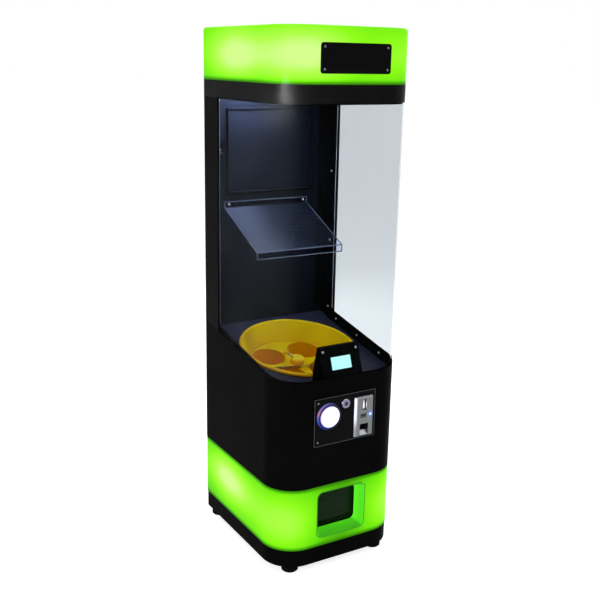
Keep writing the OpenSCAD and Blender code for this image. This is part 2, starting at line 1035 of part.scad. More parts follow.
// Round gearbox with the motor can below it
module gear_motor() {
    color([0.55, 0.56, 0.58])
        on_deck()
            translate([0, 0, motor_top])
                difference() {
                    union() {
                        translate([0, 0, -32])
                            cylinder(r = 32, h = 32);
                        cylinder(r = 11, h = 4);
                        translate([0, 0, -88])
                            cylinder(r = 19, h = 57);
                        translate([0, 0, -96])
                            cylinder(r = 7, h = 9);
                    }
                    translate([0, 0, -16])
                        cylinder(r = shaft_r + run, h = 40);
                }
}

// Slanting duct from the exit hole to the prize bin, with a flange under the base plate
module drop_chute() {
    half = exit_r + 1;
    flange = half + 6;
    t = 1.5;
    top_at = function (y) deck_height(y) + plate_bot / cos(deck_tilt);
    y_exit = bowl_y - pocket_circle * cos(deck_tilt) - plate_bot * sin(deck_tilt);
    front = [y_exit - half, bin_y0 + 28];
    rear = [y_exit + half, bin_y1 - 6];
    low = body_z + floor_t + 0.5;
    color([0.12, 0.12, 0.13])
        difference() {
            union() {
                translate([-half, 0, 0])
                    rotate([90, 0, 90])
                        linear_extrude(2 * half)
                            polygon([
                                [front[0], top_at(front[0])], [rear[0], top_at(rear[0])],
                                [rear[1], low], [front[1], low]
                            ]);
                on_deck()
                    translate([-flange, -pocket_circle - flange, plate_bot - t])
                        cube([2 * flange, 2 * flange, t]);
            }
            translate([t - half, 0, 0])
                rotate([90, 0, 90])
                    linear_extrude(2 * half - 2 * t)
                        polygon([
                            [front[0] + t, top_at(front[0]) + 50],
                            [rear[0] - t, top_at(rear[0]) + 50],
                            [rear[0] - t, top_at(rear[0])], [rear[1] - t, low],
                            [rear[1] - t, low - 9], [front[1] + t, low - 9],
                            [front[1] + t, low], [front[0] + t, top_at(front[0])]
                        ]);
        }
}

module control_plate() {
    mid = panel_z + panel_h / 2;
    color([0.03, 0.03, 0.035])
        difference() {
            front_slab(panel_w, panel_h, 3, 4, 0, front_y, mid);
            panel_holes();
        }
}

// Places a profile turned about the start button's axis, with Z towards the player
module at_button() {
    translate([button_x, plate_y, button_z])
        rotate([90, 0, 0])
            children();
}

// Collar in front of the plate with a threaded barrel behind it
module button_bezel() {
    well = dome_r + 0.5;
    color([0.10, 0.10, 0.14])
        at_button()
            rotate_extrude()
                polygon([
                    [25, -44], [30, -44], [30, 0], [bezel_r, 0], [bezel_r, 3],
                    [bezel_r - 3, 9], [well + 0.8, 9], [well, 8], [well, 1.5], [25, 1.5]
                ]);
}

// Lit dome with its skirt and guide stem; it is pushed in
module button_dome() {
    skirt = 2 + button_travel;
    rise = 10;
    sphere_r = (dome_r * dome_r + rise * rise) / (2 * rise);
    span = asin(dome_r / sphere_r);
    crown = [for (i = [0:8]) let (a = span * (1 - i / 8))
        [sphere_r * sin(a), skirt + 3 + rise - sphere_r + sphere_r * cos(a)]];
    color([0.97, 0.97, 1.0])
        at_button()
            rotate_extrude()
                polygon(concat(
                    [[0, -30], [24.5, -30], [24.5, skirt], [dome_r, skirt]], crown
                ));
}

// Lamp holder and push switch behind the button's barrel
module button_switch() {
    color([0.15, 0.15, 0.16])
        at_button()
            translate([0, 0, -44])
                union() {
                    translate([0, 0, -6])
                        cylinder(r = 28, h = 6);
                    translate([-11, -7, -30])
                        cube([22, 14, 25]);
                }
}

// Chrome collar and barrel of the key switch with its contact block behind
module key_barrel() {
    color("silver")
        translate([0, plate_y, key_z])
            rotate([90, 0, 0])
                rotate_extrude()
                    polygon([
                        [7 + run, -34], [10.5, -34], [10.5, 0], [15, 0], [15, 3],
                        [13.5, 5], [7 + run, 5]
                    ]);
}

module key_plug() {
    color("gray")
        difference() {
            union() {
                bar_y(7, 0, key_z, plate_y - 4.5, plate_y + 40);
                bar_y(12, 0, key_z, plate_y + 35, plate_y + 44);
            }
            translate([-1, plate_y - 10, key_z - 4.5])
                cube([2, 16, 9]);
        }
}

// Die-cast face of the coin mechanism: plate with a wide left bevel, coin slot with a finger dish,
// window of the reject button, lamp hole and return cup with a sloping sill
module coin_face() {
    bevel = [10, 3];
    dish = [17, 9, 5];
    sill = [9, 13];
    face_w = coin_w - bevel[0] - bevel[1];
    color([0.72, 0.74, 0.75]) {
        difference() {
            hull() {
                front_slab(coin_w, coin_h, 3, 4, coin_x, plate_y, coin_z, $fn = 32);
                front_slab(face_w, coin_h - 2 * bevel[1], 2, coin_proud,
                           coin_x + (bevel[0] - bevel[1]) / 2, plate_y, coin_z, $fn = 32);
            }
            translate([slot_x - slot_size[0] / 2, plate_y - 20, slot_z])
                cube([slot_size[0], 30, slot_size[1]]);
            intersection() {
                bar_y(dish[0], slot_x, slot_z + slot_size[1] / 2, plate_y - 20, plate_y - dish[2]);
                translate([slot_x - dish[1], plate_y - 20, slot_z - 20])
                    cube([dish[1], 30, slot_size[1] + 40]);
            }
            translate([reject_at[0], plate_y - 20, reject_at[1]])
                cube([reject_size[0], 30, reject_size[1]]);
            bar_y(led_r + 0.1, led_at[0], led_at[1], plate_y - 20, plate_y + 5);
            difference() {
                translate([cup_at[0], plate_y - 20, cup_at[1]])
                    cube([cup_size[0], 30, cup_size[1]]);
                translate([cup_at[0], plate_y, cup_at[1]])
                    rotate([90, 0, 90])
                        linear_extrude(cup_size[0])
                            polygon([[0, 0], [0, sill[1]], [-sill[0], 0]]);
            }
        }
    }
}

// Push bar of the reject button, with a deep finger groove
module coin_reject_button() {
    fit = 0.4;
    groove = [17, 4];
    color([0.60, 0.62, 0.63])
        difference() {
            translate([reject_at[0] + fit, plate_y - 9, reject_at[1] + fit])
                cube([reject_size[0] - 2 * fit, 11, reject_size[1] - 2 * fit]);
            translate([reject_at[0] + (reject_size[0] - groove[0]) / 2, plate_y - 12,
                       reject_at[1] + (reject_size[1] - groove[1]) / 2])
                cube([groove[0], 7, groove[1]]);
        }
}

module coin_led() {
    color([0.3, 0.6, 1.0])
        translate([led_at[0], plate_y, led_at[1]])
            rotate([90, 0, 0])
                union() {
                    cylinder(r = led_r, h = coin_proud);
                    translate([0, 0, coin_proud])
                        sphere(r = led_r);
                }
}

// Coin validator behind the face: coin path from the slot to the drop at the bottom, and return cup
module coin_mech() {
    w = coin_w - 9;
    h = coin_h - 9;
    depth = 70;
    path = [40, 26];
    cup_floor = [4, 26, 14];
    color([0.12, 0.12, 0.13])
        difference() {
            translate([coin_x - w / 2, plate_y + 0.2, coin_z - h / 2])
                cube([w, depth, h]);
            translate([slot_x - slot_size[0] / 2, plate_y - 5, slot_z])
                cube([slot_size[0], path[0] + path[1] - 6, slot_size[1]]);
            translate([slot_x - slot_size[0] / 2, plate_y + path[0], coin_z - h])
                cube([slot_size[0], path[1], h + 40]);
            translate([reject_at[0] - 0.5, plate_y - 5, reject_at[1] - 1])
                cube([reject_size[0] + 1, 14, reject_size[1] + 2]);
            translate([cup_at[0], plate_y, cup_at[1]])
                rotate([90, 0, 90])
                    linear_extrude(cup_size[0])
                        polygon([
                            [-5, 0], [cup_floor[0], 0], [cup_floor[1], cup_floor[2]],
                            [cup_floor[1], cup_size[1]], [-5, cup_size[1]]
                        ]);
        }
}

// Open tray that catches the coins, with a folded pull at its back
module coin_box() {
    size = [112, 126, 92];
    t = 1.5;
    at = [bin_half - 22, front_y + 34, body_z + floor_t];
    color([0.6, 0.61, 0.62])
        translate(at)
            union() {
                difference() {
                    cube(size);
                    translate([t, t, t])
                        cube([size[0] - 2 * t, size[1] - 2 * t, size[2]]);
                }
                translate([size[0] / 2 - 20, size[1], size[2] - 12])
                    cube([40, 14, 2]);
            }
}

// Side outline of the display housing, drawn in by d
function housing_outline(d) = [
    [display_y + d, display_low], [display_y + d, display_z],
    [display_top_y + d * (1 - tan(display_lean)), display_top - d],
    [display_top_y + 12 - d, display_top - d],
    [display_rear - d, deck_height(display_rear) + 30], [display_rear - d, display_low]
];

// Frame on the display's tilted face: origin at its lower edge, Z up the face, front towards -Y
module on_display() {
    translate([0, display_y, display_z])
        rotate([-display_lean, 0, 0])
            children();
}

// Wedge-shaped folded housing of the display, standing on the front of the deck
module display_housing() {
    color([0.05, 0.05, 0.055])
        difference() {
            translate([-display_half, 0, 0])
                rotate([90, 0, 90])
                    linear_extrude(2 * display_half)
                        polygon(housing_outline(0));
            translate([-display_half + sheet, 0, 0])
                rotate([90, 0, 90])
                    linear_extrude(2 * display_half - 2 * sheet)
                        polygon(housing_outline(sheet));
            on_display()
                translate([-lcd_w / 2, -5, lcd_mid - lcd_h / 2])
                    cube([lcd_w, 20, lcd_h]);
            difference() {
                translate([-cab_w, display_y - 10, 0])
                    cube([2 * cab_w, 200, display_top]);
                above_deck(gap);
            }
        }
}

// Display module behind the housing's window
module lcd_screen() {
    color([0.75, 1.0, 0.98])
        on_display()
            union() {
                translate([-lcd_w / 2 + gap, 0.8, lcd_mid - lcd_h / 2 + gap])
                    cube([lcd_w - 2 * gap, 3, lcd_h - 2 * gap]);
                translate([-lcd_w / 2 - 10, sheet + 0.3, lcd_mid - lcd_h / 2 - 8])
                    cube([lcd_w + 20, 5, lcd_h + 16]);
            }
}

// Control board on four spacers on the left wall of the body
module control_board() {
    x = -half_w + sheet;
    color([0.05, 0.35, 0.12])
        union() {
            translate([x + 10, 40, 420])
                cube([1.6, 150, 100]);
            for (y = [48, 182], z = [428, 512])
                translate([x + gap, y, z])
                    rotate([0, 90, 0])
                        cylinder(r = 3, h = 11);
            for (y = [60, 100, 140])
                translate([x + 11, y, 450])
                    cube([6, 24, 24]);
        }
}

// Power supply box on the floor of the body
module power_supply() {
    color([0.7, 0.71, 0.72])
        translate([-170, 60, body_z + floor_t])
            cube([98, 160, 42]);
}

feet();
plinth();
lower_frame();
lower_led_strips();
lower_light_band();
prize_surround();
prize_bin();
prize_door();
prize_door_pin();
body_floor();
body_shell();
left_post();
right_post();
window();
window_clamps();
face_screws();
upper_band();
ceiling_plate();
ceiling_light();
top_led_strips();
top_light_box();
sign_plate();
ramp_shelf();
back_panel();
power_inlet();
restock_door();
restock_hinges();
restock_lock();
restock_lock_plug();
service_door();
service_hinges();
service_lock();
service_lock_plug();
deck_plate();
hopper_bowl();
wheel_base_plate();
capsule_wheel();
hub_cap();
agitator_rod();
agitator_knob();
wheel_shaft();
stripper_bar();
motor_bracket();
gear_motor();
drop_chute();
control_plate();
button_bezel();
button_dome();
button_switch();
key_barrel();
key_plug();
coin_face();
coin_reject_button();
coin_led();
coin_mech();
coin_box();
display_housing();
lcd_screen();
control_board();
power_supply();
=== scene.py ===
"""Looks of a capsule toy vendor: finishes for every solid, fine hardware, studio light and camera."""

import json
import math

import bmesh
import bpy
from mathutils import Matrix, Vector


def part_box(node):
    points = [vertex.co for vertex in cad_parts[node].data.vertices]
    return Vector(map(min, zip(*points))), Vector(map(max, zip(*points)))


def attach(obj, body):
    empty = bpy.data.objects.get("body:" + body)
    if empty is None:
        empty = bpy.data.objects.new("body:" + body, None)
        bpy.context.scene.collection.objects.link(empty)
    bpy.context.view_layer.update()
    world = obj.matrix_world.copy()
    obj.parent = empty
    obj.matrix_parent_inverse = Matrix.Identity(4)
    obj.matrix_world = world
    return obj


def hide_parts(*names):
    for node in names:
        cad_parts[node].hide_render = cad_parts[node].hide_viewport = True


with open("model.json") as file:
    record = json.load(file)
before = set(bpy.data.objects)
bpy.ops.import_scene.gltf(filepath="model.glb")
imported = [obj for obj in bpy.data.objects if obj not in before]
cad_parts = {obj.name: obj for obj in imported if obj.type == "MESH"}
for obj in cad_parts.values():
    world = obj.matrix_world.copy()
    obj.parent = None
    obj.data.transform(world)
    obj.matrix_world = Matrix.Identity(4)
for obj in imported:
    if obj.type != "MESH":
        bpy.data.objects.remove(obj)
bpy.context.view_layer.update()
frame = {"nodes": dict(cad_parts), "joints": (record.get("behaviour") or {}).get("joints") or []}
NODES = frame["nodes"]

# Camera at the photograph's place: metres and degrees in the cabinet's frame
CAMERA_AT = (-1.4059, -2.3303, 1.5197)
CAMERA_YAW = 30.876
CAMERA_PITCH = 15.0
CAMERA_ROLL = 1.112
CAMERA_LENS = 53.96

# Places read from the frame
FRONT_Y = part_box("body_shell")[0].y
HALF_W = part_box("body_shell")[1].x
BACK_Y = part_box("body_shell")[1].y
BAND_LOW, BAND_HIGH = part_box("lower_light_band")
BOX_LOW, BOX_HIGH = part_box("top_light_box")
MOUTH_LOW, MOUTH_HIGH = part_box("prize_surround")
WHEEL_JOINT = next(j for j in frame["joints"] if j["name"] == "wheel_turn")
WHEEL_AT = Vector(WHEEL_JOINT["pos_m"])
WHEEL_AXIS = Vector(WHEEL_JOINT["axis"])

# Reach of the painted shade by which the lit green walls darken towards the black sheets
PAINTED_EDGE_SHADE = 0.016

# Sheets and screws that finer pieces follow, in metres and degrees
SHELF_SHEET = 0.003
SHELF_LIP = 0.024
SHELF_FALL = 25.0
CLAMP_SETBACK = 0.0032
CLAMP_FOOT = 0.03
CLAMP_SHEET = 0.002
REAR_SCREW_INSET = 0.009
SLOT_FROM_LEFT = 0.036
SLOT_FROM_TOP = 0.025
SLOT_HALF = 0.0024
DISH_DEPTH = 0.005
POCKET_REACH = 0.1515
LIP_REACH = (0.0090, 0.0065, 0.0165)

# Sizes of the finer pieces, in metres
REAR_HEAD_RADIUS = 0.004
REAR_HEAD_HEIGHT = 0.0022
EDGE_PROUD = 0.0002
PLATE_CORNER = 0.003
PLATE_EDGE_INSET = 0.0005
PLATE_BEAD = 0.0007
CLAMP_BEAD = 0.001
POCKET_BEAD = 0.0012


class Tree:
    """Adds nodes to one node tree and sets or links their sockets."""

    def __init__(self, tree):
        self.tree = tree

    def feed(self, node, socket, value):
        """Sets a socket to a constant, or links another node's output to it."""
        if isinstance(socket, str):
            named = {s.name.lower(): s for s in reversed(node.inputs)}
            target = named[socket.lower()]
        else:
            target = node.inputs[socket]
        if isinstance(value, bpy.types.NodeSocket):
            self.tree.links.new(value, target)
        elif hasattr(value, "__len__") and len(value) == 3 and target.type == "RGBA":
            target.default_value = (*value, 1.0)
        else:
            target.default_value = value

    def node(self, kind, inputs=None, **settings):
        made = self.tree.nodes.new(kind)
        for key, value in settings.items():
            setattr(made, key, value)
        for socket, value in (inputs or {}).items():
            self.feed(made, socket, value)
        return made


class Finish(Tree):
    """A material around one Principled shader, patterned on Object coordinates."""

    def __init__(self, name, **sockets):
        self.material = bpy.data.materials.new(name)
        self.material.use_nodes = True
        super().__init__(self.material.node_tree)
        self.shader = self.tree.nodes["Principled BSDF"]
        for key, value in sockets.items():
            self.give(key.replace("_", " "), value)

    def give(self, socket, value):
        """Sets or links a socket of the shader."""
        self.feed(self.shader, socket, value)

    def here(self):
        return self.node("ShaderNodeTexCoord").outputs["Object"]

    def normal(self):
        return self.node("ShaderNodeNewGeometry").outputs["Normal"]

    def openness(self, reach):
        """1 where nothing stands within reach of the surface, less in corners and hollows."""
        return self.node("ShaderNodeAmbientOcclusion", {"Distance": reach}, samples=8).outputs["AO"]

    def place(self, at=(0, 0, 0), turn=(0, 0, 0), scale=(1, 1, 1)):
        """Object coordinates, moved so that the point at is the pattern's origin."""
        moved = self.vector("SUBTRACT", self.here(), at)
        return self.node(
            "ShaderNodeMapping", {"Vector": moved, "Rotation": turn, "Scale": scale}
        ).outputs["Vector"]

    def vector(self, operation, a, b, output="Vector"):
        return self.node("ShaderNodeVectorMath", {0: a, 1: b}, operation=operation).outputs[output]

    def math(self, operation, a, b=0.0):
        return self.node("ShaderNodeMath", {0: a, 1: b}, operation=operation).outputs[0]

    def axis(self, vector, name):
        return self.node("ShaderNodeSeparateXYZ", {0: vector}).outputs[name]

    def noise(self, scale, detail=3.0, roughness=0.5, vector=None):
        vector = vector or self.place()
        inputs = {"Vector": vector, "Scale": scale, "Detail": detail, "Roughness": roughness}
        return self.node("ShaderNodeTexNoise", inputs).outputs[0]

    def ramp(self, factor, *stops):
        """Colours or grey values along a factor: each stop is (place, value)."""
        made = self.node("ShaderNodeValToRGB", {"Fac": factor})
        elements = made.color_ramp.elements
        while len(elements) < len(stops):
            elements.new(0.5)
        for element, (at, value) in zip(elements, stops):
            element.position = at
            rgb = value if hasattr(value, "__len__") else (value, value, value)
            element.color = (*rgb, 1.0)
        return made.outputs["Color"]

    def blend(self, factor, a, b, mode="MIX"):
        made = self.node("ShaderNodeMix", data_type="RGBA", blend_type=mode)
        self.feed(made, 0, factor)
        self.feed(made, 6, a)
        self.feed(made, 7, b)
        return made.outputs[2]

    def span(self, value, low, high):
        """A value between low and high, as 0 to 1 with soft ends."""
        made = self.node(
            "ShaderNodeMapRange",
            {"Value": value, "From Min": low, "From Max": high},
            interpolation_type="SMOOTHSTEP",
        )
        return made.outputs["Result"]

    def relief(self, height, depth, soften=0.0):
        """Bump of a given depth in metres, over edges rounded by soften metres."""
        inputs = {"Height": height, "Distance": depth}
        if soften:
            inputs["Normal"] = self.node(
                "ShaderNodeBevel", {"Radius": soften}, samples=4
            ).outputs["Normal"]
        self.give("Normal", self.node("ShaderNodeBump", inputs).outputs["Normal"])

    def glow(self, lamps):
        """Sum of soft spots: each lamp is (centre, reach along each axis, strength)."""
        coordinates = self.here()
        total = None
        for centre, reach, strength in lamps:
            away = self.vector("DIVIDE", self.vector("SUBTRACT", coordinates, centre), reach)
            squared = self.vector("DOT_PRODUCT", away, away, "Value")
            fall = self.math("POWER", math.e, self.math("MULTIPLY", squared, -1.0))
            spot = self.math("MULTIPLY", fall, strength)
            total = spot if total is None else self.math("ADD", total, spot)
        return total


def shades(tone, *factors):
    """Darker and lighter versions of one colour or grey value."""
    rgb = tone if hasattr(tone, "__len__") else (tone, tone, tone)
    return [tuple(c * factor for c in rgb) for factor in factors]


def powder_black(name, tone=0.0042, rough=0.34, gloss=0.0025, peel=0.00006):
    """Black powder coat: fine orange peel of a given depth, faint cloudy sheen, softened sheet edges."""
    f = Finish(name, specular_ior_level=gloss)
    cloud = f.noise(5.0, 4.0)
    low, high = shades(tone, 0.8, 1.25)
    f.give("Base Color", f.ramp(cloud, (0.3, low), (0.7, high)))
    f.give("Roughness", f.ramp(f.noise(9.0, 5.0), (0.3, rough - 0.07), (0.7, rough + 0.07)))
    f.relief(f.noise(650.0, 2.0), peel, soften=0.0009)
    return f.material


def lit_acrylic(name, lamps, *edges):
    """Green acrylic lit from behind: pale over the lamps, deep green away from them, with painted shade at
    its edges.

    Each edge is (height, reach): painted shade fades the light towards that height within that reach, up
    or down.
    """
    f = Finish(name, base_color=(0.01, 0.05, 0.001), roughness=0.2, specular_ior_level=0.006)
    cloud = f.math("MULTIPLY", f.math("SUBTRACT", f.noise(14.0, 2.0), 0.5), 0.08)
    level = f.math("ADD", f.glow(lamps), cloud)
    height = f.axis(f.here(), 2)
    # Painted shade: the glow darkens towards the edges that meet the black sheets.
    for edge, reach in edges:
        level = f.math("MULTIPLY", level, f.span(height, edge, edge + reach))
    colour = f.ramp(
        level,
        (0.0, (0.030, 0.20, 0.002)),
        (0.27, (0.14, 0.77, 0.004)),
        (0.52, (0.27, 0.96, 0.010)),
        (0.78, (0.45, 0.98, 0.075)),
        (1.0, (0.66, 1.0, 0.27)),
    )
    f.give("Emission Color", colour)
    f.give("Emission Strength", 1.0)
    f.relief(f.noise(60.0, 2.0), 0.00006, soften=0.0015)
    return f.material


def lit_surround(name):
    """Tapered green frame lit from within, its glow set by painted light and shade: side walls glow, sill
    and head are duller, and painted shade darkens the inner corner.
    """
    f = Finish(name, base_color=(0.008, 0.05, 0.002), roughness=0.25, specular_ior_level=0.1)
    # Painted light and shade: the glow follows each face's facing and is strongest on the side walls.
    normal = f.normal()
    sides = f.span(f.math("ABSOLUTE", f.axis(normal, 0)), 0.3, 0.9)
    sill = f.span(f.axis(normal, 2), 0.3, 0.9)
    depth = f.span(f.axis(f.here(), 1), FRONT_Y, FRONT_Y + 0.05)
    streak = f.noise(18.0, 3.0, vector=f.place(scale=(1.0, 3.0, 0.3)))
    level = f.math("ADD", f.math("MULTIPLY", sides, 0.55), f.math("MULTIPLY", sill, 0.18))
    level = f.math("ADD", level, f.math("MULTIPLY", depth, 0.2))
    level = f.math("ADD", level, f.math("MULTIPLY", streak, 0.3))
    # Painted shade: the glow darkens in the inner corner and along the door's edges.
    shade = f.openness(0.008)
    level = f.math("MULTIPLY", level, f.span(shade, 0.3, 0.75))
    colour = f.ramp(
        level,
        (0.0, (0.008, 0.07, 0.002)), (0.3, (0.045, 0.38, 0.010)),
        (0.6, (0.07, 0.66, 0.008)), (0.95, (0.13, 0.97, 0.03)),
    )
    f.give("Emission Color", colour)
    f.give("Emission Strength", 1.0)
    f.relief(f.noise(60.0, 2.0), 0.00006, soften=0.002)
    return f.material


def clear_acrylic(name, tint, ior, rough, marks, haze):
    """Clear sheet with faint wipe marks in its gloss; haze gives the share of light it scatters."""
    f = Finish(name, base_color=tint, ior=ior)
    wiped = f.noise(7.0, 6.0, vector=f.place(scale=(1.0, 1.0, 0.25)))
    f.give("Roughness", f.ramp(wiped, (0.4, rough), (0.75, rough + marks)))
    f.give("Transmission Weight", f.math("SUBTRACT", 1.0, haze(f)))
    return f.material


def shelf_haze(f):
    """Haze on the sloping faces of the shelf's ramp, raised towards its left as a painted pool of the bay
    lamps' light.
    """
    slope = f.span(f.math("ABSOLUTE", f.axis(f.normal(), 2)), 0.3, 0.8)
    dust = f.ramp(f.noise(5.0, 4.0), (0.3, 0.028), (0.7, 0.052))
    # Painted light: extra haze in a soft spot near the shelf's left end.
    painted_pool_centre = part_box("ramp_shelf")[0] + Vector((0.04, 0.0, 0.0))
    painted_light_pool = f.glow([(painted_pool_centre, (0.085, 1.0, 1.0), 1.0)])
    return f.math("MULTIPLY", slope, f.math("MULTIPLY", dust, f.math("ADD", painted_light_pool, 0.12)))


def window_painted_veil(f):
    """Thin haze on the outside of the left pane: a painted reflection of the white surroundings."""
    # Painted reflection: only faces turned to the left get the haze.
    left = f.span(f.axis(f.normal(), 0), -0.3, -0.95)
    return f.math("MULTIPLY", left, f.ramp(f.noise(6.0, 4.0), (0.3, 0.004), (0.7, 0.012)))


def smoked_acrylic(name):
    """Dark see-through sheet whose gloss is tinted green, a painted reflection of the lit frame round it.
    """
    # Painted reflection: the green of the lit frame, given to the sheet's gloss.
    green = (0.30, 1.0, 0.25)
    f = Finish(name, base_color=(0.04, 0.07, 0.05), transmission_weight=0.92, ior=1.2, specular_tint=green)
    f.give("Roughness", f.ramp(f.noise(20.0, 5.0), (0.4, 0.04), (0.7, 0.12)))
    return f.material


def black_gloss(name):
    """Polished black acrylic with hair scratches in its gloss."""
    f = Finish(name, base_color=(0.0030, 0.0030, 0.0038), specular_ior_level=0.03)
    scratches = f.noise(90.0, 8.0, 0.7, f.place(turn=(0.0, 0.5, 0.0), scale=(1.0, 1.0, 0.05)))
    f.give("Roughness", f.ramp(scratches, (0.4, 0.10), (0.72, 0.24)))
    f.relief(scratches, 0.00001, soften=0.0005)
    return f.material


def yellow_plastic(name, tone=(0.70, 0.50, 0.001)):
    """Moulded yellow plastic: rub marks run round the hopper's axis, and hollows turn to orange as painted
    light bounced between the yellow walls.
    """
    f = Finish(name, specular_ior_level=0.08)
    tilt = math.atan2(-WHEEL_AXIS.y, WHEEL_AXIS.z)
    local = f.place(at=WHEEL_AT, turn=(-tilt, 0.0, 0.0))
    radial = f.node(
        "ShaderNodeTexGradient", {"Vector": local}, gradient_type="SPHERICAL"
    ).outputs[1]
    rub = f.noise(120.0, 4.0, vector=f.node("ShaderNodeCombineXYZ", {0: radial}).outputs[0])
    cloud = f.noise(11.0, 4.0)
    dull = shades(tone, 0.86)[0]
    # Painted light: an orange yellow for the light that bounces round in hollows.
    hollow = (tone[0] * 1.18, tone[1] * 0.74, tone[2])
    skin = f.ramp(cloud, (0.3, dull), (0.65, tone))
    f.give("Base Color", f.blend(f.span(f.openness(0.2), 0.2, 0.85), hollow, skin))
    f.give("Roughness", f.ramp(rub, (0.35, 0.28), (0.7, 0.42)))
    f.relief(f.noise(420.0, 2.0), 0.00005, soften=0.0008)
    return f.material


def metal(name, tone, rough, shine=1.0):
    """Bare or plated metal: directional grain in the roughness and a little uneven tone."""
    f = Finish(name, metallic=shine)
    lines = f.noise(700.0, 3.0, vector=f.place(scale=(1.0, 1.0, 0.04)))
    stained = shades(tone, 0.82)[0]
    f.give("Base Color", f.ramp(f.noise(60.0, 4.0), (0.3, stained), (0.7, tone)))
    f.give("Roughness", f.ramp(lines, (0.3, rough * 0.75), (0.7, rough * 1.3)))
    f.relief(lines, 0.00001, soften=0.0004)
    return f.material


def cast_zinc(name):
    """Dark pitted cast face: painted shade in recesses, painted light on upward faces, the top and the
    polished left bevel, and a painted blue spill.
    """
    lamp_low, lamp_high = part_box("coin_led")
    f = Finish(name, metallic=1.0)
    skin = f.noise(260.0, 5.0, 0.65)
    local = f.place(at=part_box("coin_face")[0])
    normal = f.normal()
    plain = f.ramp(skin, (0.3, (0.10, 0.11, 0.11)), (0.7, (0.20, 0.21, 0.21)))
    # Painted light: faces turned upward are lighter.
    sill = f.span(f.axis(normal, 2), 0.15, 0.5)
    plain = f.blend(sill, plain, (0.40, 0.41, 0.43))
    # Painted light: the face turns violet-white towards its top, the button's light.
    height = f.span(f.axis(local, 2), 0.02, 0.07)
    edge = f.blend(height, (0.24, 0.24, 0.26), (0.85, 0.82, 0.97))
    # The left bevel is polished, and its brightness on faces turned to the left is also painted light.
    leftward = f.span(f.axis(normal, 0), -0.2, -0.3)
    bevel = f.math("MULTIPLY", leftward, f.span(f.axis(local, 0), 0.0095, 0.004))
    tone = f.blend(bevel, plain, edge)
    # Painted shade: recesses darken towards black.
    shade = f.openness(0.010)
    deep = f.ramp(shade, (0.4, 0.03), (0.92, 1.0))
    f.give("Base Color", f.blend(1.0, tone, deep, "MULTIPLY"))
    f.give("Roughness", f.ramp(skin, (0.3, 0.26), (0.7, 0.46)))
    # Painted light: a blue glow round the coin lamp stands for its spill on the face.
    spill = f.glow([((lamp_low + lamp_high) / 2, (0.009, 0.02, 0.009), 0.5)])
    f.give("Emission Color", f.ramp(spill, (0.02, 0.0), (0.5, (0.03, 0.16, 0.75))))
    f.give("Emission Strength", 1.0)
    f.relief(skin, 0.00012, soften=0.0006)
    return f.material


def slot_lips(name):
    """Steel lips, light on the faces towards the left and dark on the others: painted light and shade."""
    f = Finish(name, metallic=1.0)
    # Painted light and shade: lighter where the faces turn to the left.
    left = f.span(f.axis(f.normal(), 0), 0.15, -0.45)
    f.give("Base Color", f.ramp(left, (0.0, (0.13, 0.14, 0.14)), (1.0, (0.85, 0.85, 0.88))))
    f.give("Roughness", f.ramp(f.noise(260.0, 5.0), (0.3, 0.18), (0.7, 0.3)))
    return f.material


def bezel_light(name):
    """Dark collar with the button's light painted on as glow: bright inside, blue and rose on the left,
    and a pale outer line as a painted highlight.
    """
    low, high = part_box("button_bezel")
    radius = (high.x - low.x) / 2
    f = Finish(name, base_color=(0.012, 0.012, 0.02), roughness=0.22, specular_ior_level=0.15)
    local = f.place(at=(low + high) / 2, scale=(1 / radius, 0.0, 1 / radius))
    out = f.vector("LENGTH", local, (0, 0, 0), "Value")
    # Painted light: the glow is bright next to the dome, and the pale outer line is a painted highlight.
    ring = f.ramp(
        out, (0.80, (0.45, 0.45, 0.45)), (0.85, (0.12, 0.12, 0.12)), (0.90, (0.02, 0.02, 0.02)),
        (0.94, (0.02, 0.02, 0.02)), (0.965, (0.40, 0.40, 0.40)),
    )
    hue = f.ramp(
        f.span(f.axis(local, 2), -0.9, 0.9),
        (0.0, (0.04, 0.08, 0.9)), (0.5, (0.10, 0.20, 1.0)),
        (0.8, (0.9, 0.35, 0.75)), (1.0, (0.25, 0.25, 0.9)),
    )
    lit = f.blend(1.0, ring, hue, "MULTIPLY")
    # Painted light: the glow shows on the left side only.
    left = f.span(f.axis(local, 0), 0.75, -0.6)
    f.give("Emission Color", f.blend(left, (0.004, 0.004, 0.012), lit))
    f.give("Emission Strength", 1.3)
    f.relief(f.noise(500.0, 2.0), 0.00003, soften=0.0006)
    return f.material


def polished_edge(name, tone):
    """Bead along a cut and polished edge, in a light tone that is a painted highlight of the light it
    catches along its length.
    """
    f = Finish(name, roughness=0.06, specular_ior_level=0.6)
    catch = f.noise(22.0, 3.0)
    low, high = shades(tone, 0.6, 1.2)
    f.give("Base Color", f.ramp(catch, (0.3, low), (0.7, high)))
    return f.material


def galvanised(name):
    """Zinc-coated sheet with its crystal spangle."""
    f = Finish(name, metallic=1.0)
    cells = f.node("ShaderNodeTexVoronoi", {"Vector": f.place(), "Scale": 90.0}).outputs["Color"]
    f.give("Base Color", f.ramp(cells, (0.2, 0.42), (0.8, 0.62)))
    f.give("Roughness", f.ramp(cells, (0.2, 0.28), (0.8, 0.48)))
    return f.material


def moulded(name, tone, rough=0.5, gloss=0.35):
    """Moulded plastic or rubber with a fine spark-eroded grain."""
    f = Finish(name, specular_ior_level=gloss)
    cloud = f.noise(25.0, 3.0)
    f.give("Base Color", f.ramp(cloud, (0.3, shades(tone, 0.8)[0]), (0.7, tone)))
    f.give("Roughness", f.ramp(cloud, (0.3, rough - 0.08), (0.7, rough + 0.08)))
    f.relief(f.noise(900.0, 2.0), 0.00006, soften=0.0006)
    return f.material


